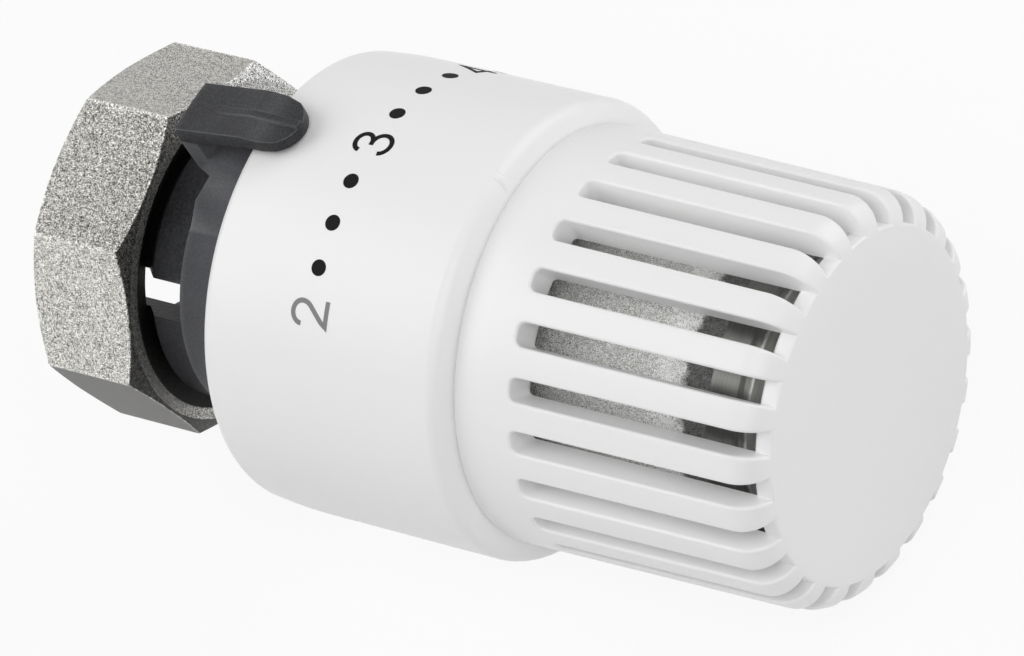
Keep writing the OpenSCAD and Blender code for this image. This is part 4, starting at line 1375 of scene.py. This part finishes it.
class HEAD_OT_stage(bpy.types.Operator):
    """Sets up the camera, the soft lights, the pale floor and the world."""

    bl_idname = "head.stage"
    bl_label = "Stage"

    def execute(self, context):
        s = sizes("head_stage")
        scene = context.scene
        scene.view_settings.view_transform = "Standard"
        axes = self.add_camera(scene, s)
        right, up, back = axes[:3, 0], axes[:3, 1], axes[:3, 2]
        self.add_lamp(scene, "right light", 0.8 * up + 0.6 * right + 0.2 * back, s.right_power)
        self.add_lamp(scene, "left light", 0.3 * up - right + 0.3 * back, s.left_power)
        self.add_lamp(scene, "front light", back, s.front_power)
        self.add_world(scene, s.room)
        self.add_floor(scene)
        return {"FINISHED"}

    def add_camera(self, scene, s):
        """Places the camera by azimuth, elevation and roll, and gives its axes."""
        data = bpy.data.cameras.new("camera")
        data.lens, data.sensor_width = s.lens, 36.0
        data.clip_start, data.clip_end = 0.05, 20.0
        camera = bpy.data.objects.new("camera", data)
        scene.collection.objects.link(camera)
        a, e, roll = s.azimuth, s.elevation, s.roll
        back = np.array([math.sin(a) * math.cos(e), -math.cos(a) * math.cos(e), math.sin(e)])
        right = np.array([math.cos(a), math.sin(a), 0.0])
        up = np.cross(back, right)
        axes = np.eye(4)
        axes[:3, 0] = right * math.cos(roll) - up * math.sin(roll)
        axes[:3, 1] = up * math.cos(roll) + right * math.sin(roll)
        axes[:3, 2] = back
        axes[:3, 3] = s.camera_place
        camera.matrix_world = Matrix(axes.tolist())
        scene.camera = camera
        return axes

    def add_lamp(self, scene, name, direction, power):
        """A square soft light that faces the head's middle from a direction."""
        distance, size = 0.6, 0.5
        light = bpy.data.lights.new(name, "AREA")
        light.shape = "SQUARE"
        light.size, light.energy = size, power
        lamp = bpy.data.objects.new(name, light)
        scene.collection.objects.link(lamp)
        z = direction / np.linalg.norm(direction)
        x = np.cross((0.0, 0.0, 1.0), z)
        x /= np.linalg.norm(x)
        axes = np.eye(4)
        axes[:3, 0], axes[:3, 1], axes[:3, 2] = x, np.cross(z, x), z
        axes[:3, 3] = np.array((CAD_LOW + CAD_HIGH) / 2) + z * distance
        lamp.matrix_world = Matrix(axes.tolist())

    def add_world(self, scene, strength):
        """Even light from all round, and plain white where the camera or a mirror sees past the floor."""
        world = bpy.data.worlds.new("studio")
        scene.world = world
        world.use_nodes = True
        tree = world.node_tree
        tree.nodes.clear()
        out = tree.nodes.new("ShaderNodeOutputWorld")
        room = node(tree, "ShaderNodeBackground", {"Color": (1, 1, 1, 1), "Strength": strength})
        plain = node(tree, "ShaderNodeBackground", {"Color": (1, 1, 1, 1), "Strength": 1.0})
        sources = {0: seen_rays(tree), 1: room.outputs[0], 2: plain.outputs[0]}
        mix = node(tree, "ShaderNodeMixShader", sources)
        tree.links.new(mix.outputs[0], out.inputs["Surface"])

    def add_floor(self, scene):
        """A pale floor just under the head, which is seen white but keeps a faint shadow."""
        gap, reach, glow_share = 0.0005, 3.0, 0.9
        z = CAD_LOW.z - gap
        mesh = bpy.data.meshes.new("floor")
        corners = [(-reach, -reach, z), (reach, -reach, z), (reach, reach, z), (-reach, reach, z)]
        mesh.from_pydata(corners, [], [(0, 1, 2, 3)])
        floor = bpy.data.objects.new("floor", mesh)
        scene.collection.objects.link(floor)
        paint = bpy.data.materials.new("pale floor")
        paint.use_nodes = True
        tree = paint.node_tree
        tree.nodes.clear()
        out = tree.nodes.new("ShaderNodeOutputMaterial")
        matt = node(tree, "ShaderNodeBsdfDiffuse", {"Color": (0.8, 0.8, 0.8, 1)})
        glow = node(tree, "ShaderNodeEmission", {"Color": (1, 1, 1, 1), "Strength": 1.0})
        amount = maths(tree, "MULTIPLY", seen_rays(tree), glow_share)
        mix = node(tree, "ShaderNodeMixShader", {0: amount, 1: matt.outputs[0], 2: glow.outputs[0]})
        tree.links.new(mix.outputs[0], out.inputs["Surface"])
        mesh.materials.append(paint)


class HEAD_OT_handwheel(bpy.types.Operator):
    """Makes the white handwheel: skirt, shoulder, ribbed grille with rounded edges, end disc and rest
    ridge."""

    bl_idname = "head.handwheel"
    bl_label = "Handwheel"

    def execute(self, context):
        shape = WheelShape()
        points, faces = join_shells(wheel_shells(shape))
        wheel = add_mesh("handwheel_shell", points, faces, "wheel", sharp=30)
        ridge = add_mesh("rest_ridge", *ridge_shell(shape), "wheel", sharp=60)
        stop = add_mesh("wheel_stop", *stop_rib_shell(shape), "wheel")
        for piece in (wheel, ridge, stop):
            coat_piece(piece, "white satin plastic")
            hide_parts("handwheel")
        return {"FINISHED"}


class HEAD_OT_dial(bpy.types.Operator):
    """Prints the dial: numbers with three dots between them, and the frost sign and zero on the far
    side."""

    bl_idname = "head.dial"
    bl_label = "Dial"

    def execute(self, context):
        s = sizes("head_dial")
        shape = WheelShape()
        scale, row_x = s.digit_height / DIGIT_HEIGHT, shape.start + s.row
        stroke_drop = 0.002
        signs = {"5": -2.0, "4": -1.0, "3": 0.0, "2": 1.0, "1": 3.0, "frost": 3.5, "0": 4.0}
        for sign, at in signs.items():
            shells = []
            for n, line in enumerate(digit_strokes(sign)):
                left, right = ribbon(line * scale, s.stroke)
                lift = shape.s.ink_lift - stroke_drop * n
                shells.append(dial_shell(left, right, row_x, at * s.step + s.turn, shape.skirt_r, lift))
            self.add_print(f"dial_{sign}", shells, "worn print" if sign == "2" else "black print")
        dots = []
        edge = oval(0.0, 0.0, s.dot / 2, s.dot / 2, 0, 180, 15)
        for at in (-1.75, -1.5, -1.25, -0.75, -0.5, -0.25, 0.25, 0.5, 0.75):
            turn = at * s.step + s.turn
            dots.append(dial_shell(edge, edge * (1, -1), row_x, turn, shape.skirt_r, shape.s.ink_lift))
        self.add_print("dial_dots", dots, "black print")
        return {"FINISHED"}

    def add_print(self, name, shells, paint):
        """Makes one printed piece of several flat shapes."""
        piece = add_mesh(name, *join_shells(shells), "wheel", sharp=20)
        piece.data.materials.append(material(paint))


class HEAD_OT_union_nut(bpy.types.Operator):
    """Makes the sanded octagonal nut with its chamfers and its internal thread."""

    bl_idname = "head.union_nut"
    bl_label = "Union nut"

    def execute(self, context):
        points, faces, marks = nut_shell()
        nut = add_mesh("union_nut_body", points, faces, "nut", sharp=25, marks=marks)
        coat_piece(nut, "sanded nickel")
        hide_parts("union_nut")
        return {"FINISHED"}


class HEAD_OT_carrier(bpy.types.Operator):
    """Makes the black carrier and its pointer."""

    bl_idname = "head.carrier"
    bl_label = "Carrier"

    def execute(self, context):
        moulding = carrier_copy()
        points, faces, marks = pointer_shell()
        pointer = add_mesh("carrier_pointer", points, faces, "base", sharp=40, marks=marks)
        for piece in (moulding, pointer):
            coat_piece(piece, "black filled plastic")
            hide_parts("base_carrier")
        return {"FINISHED"}


class HEAD_OT_inner_parts(bpy.types.Operator):
    """Finishes the sensor, the holder and the pressure piece, which keep their own shapes."""

    bl_idname = "head.inner_parts"
    bl_label = "Inner parts"

    def execute(self, context):
        parts_of = {
            "red plastic": ("limit_clips",),
            "grey plastic": ("sensor_holder",),
            "natural acetal": ("thrust_washer", "rod_bush"),
            "white acetal": ("pressure_pin",),
            "black rubber": ("sensor_gasket",),
            "grainy sensor metal": ("sensor_flange", "sensor_can"),
            "turned sensor metal": ("sensor_end_cap",),
            "zinc-plated steel": ("sensor_nut", "fill_plug", "push_rod", "spring_cup", "pin_tip"),
            "drawn spring steel": ("holder_ring", "overtravel_spring", "spring_ring"),
            "rolled bronze": ("bellows", "bellows_plate"),
        }
        for finish, names in parts_of.items():
            for name in names:
                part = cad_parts[name]
                part.data.materials.clear()
                part.data.materials.append(material(finish))
        return {"FINISHED"}


class HEAD_PT_panel(bpy.types.Panel):
    """Lists the steps that build the head."""

    bl_idname = "HEAD_PT_panel"
    bl_label = "Valve Head"
    bl_space_type = "VIEW_3D"
    bl_region_type = "UI"
    bl_category = "Valve Head"

    def draw(self, context):
        for step in OPERATORS:
            self.layout.operator(step.bl_idname)


GROUPS_OF_SIZES = {
    "head_wheel": HeadWheelSizes,
    "head_dial": HeadDialSizes,
    "head_nut": HeadNutSizes,
    "head_pointer": HeadPointerSizes,
    "head_finishes": HeadFinishes,
    "head_stage": HeadStageSizes,
}
OPERATORS = (
    HEAD_OT_stage,
    HEAD_OT_handwheel,
    HEAD_OT_dial,
    HEAD_OT_union_nut,
    HEAD_OT_carrier,
    HEAD_OT_inner_parts,
)


def register():
    for group in GROUPS_OF_SIZES.values():
        bpy.utils.register_class(group)
    for name, group in GROUPS_OF_SIZES.items():
        setattr(bpy.types.Scene, name, bpy.props.PointerProperty(type=group))
    for step in OPERATORS + (HEAD_PT_panel,):
        bpy.utils.register_class(step)


def unregister():
    for step in reversed(OPERATORS + (HEAD_PT_panel,)):
        bpy.utils.unregister_class(step)
    for name in GROUPS_OF_SIZES:
        delattr(bpy.types.Scene, name)
    for group in reversed(list(GROUPS_OF_SIZES.values())):
        bpy.utils.unregister_class(group)


def main():
    register()
    bpy.ops.head.stage()
    bpy.ops.head.handwheel()
    bpy.ops.head.dial()
    bpy.ops.head.union_nut()
    bpy.ops.head.carrier()
    bpy.ops.head.inner_parts()


if __name__ == "__main__":
    main()
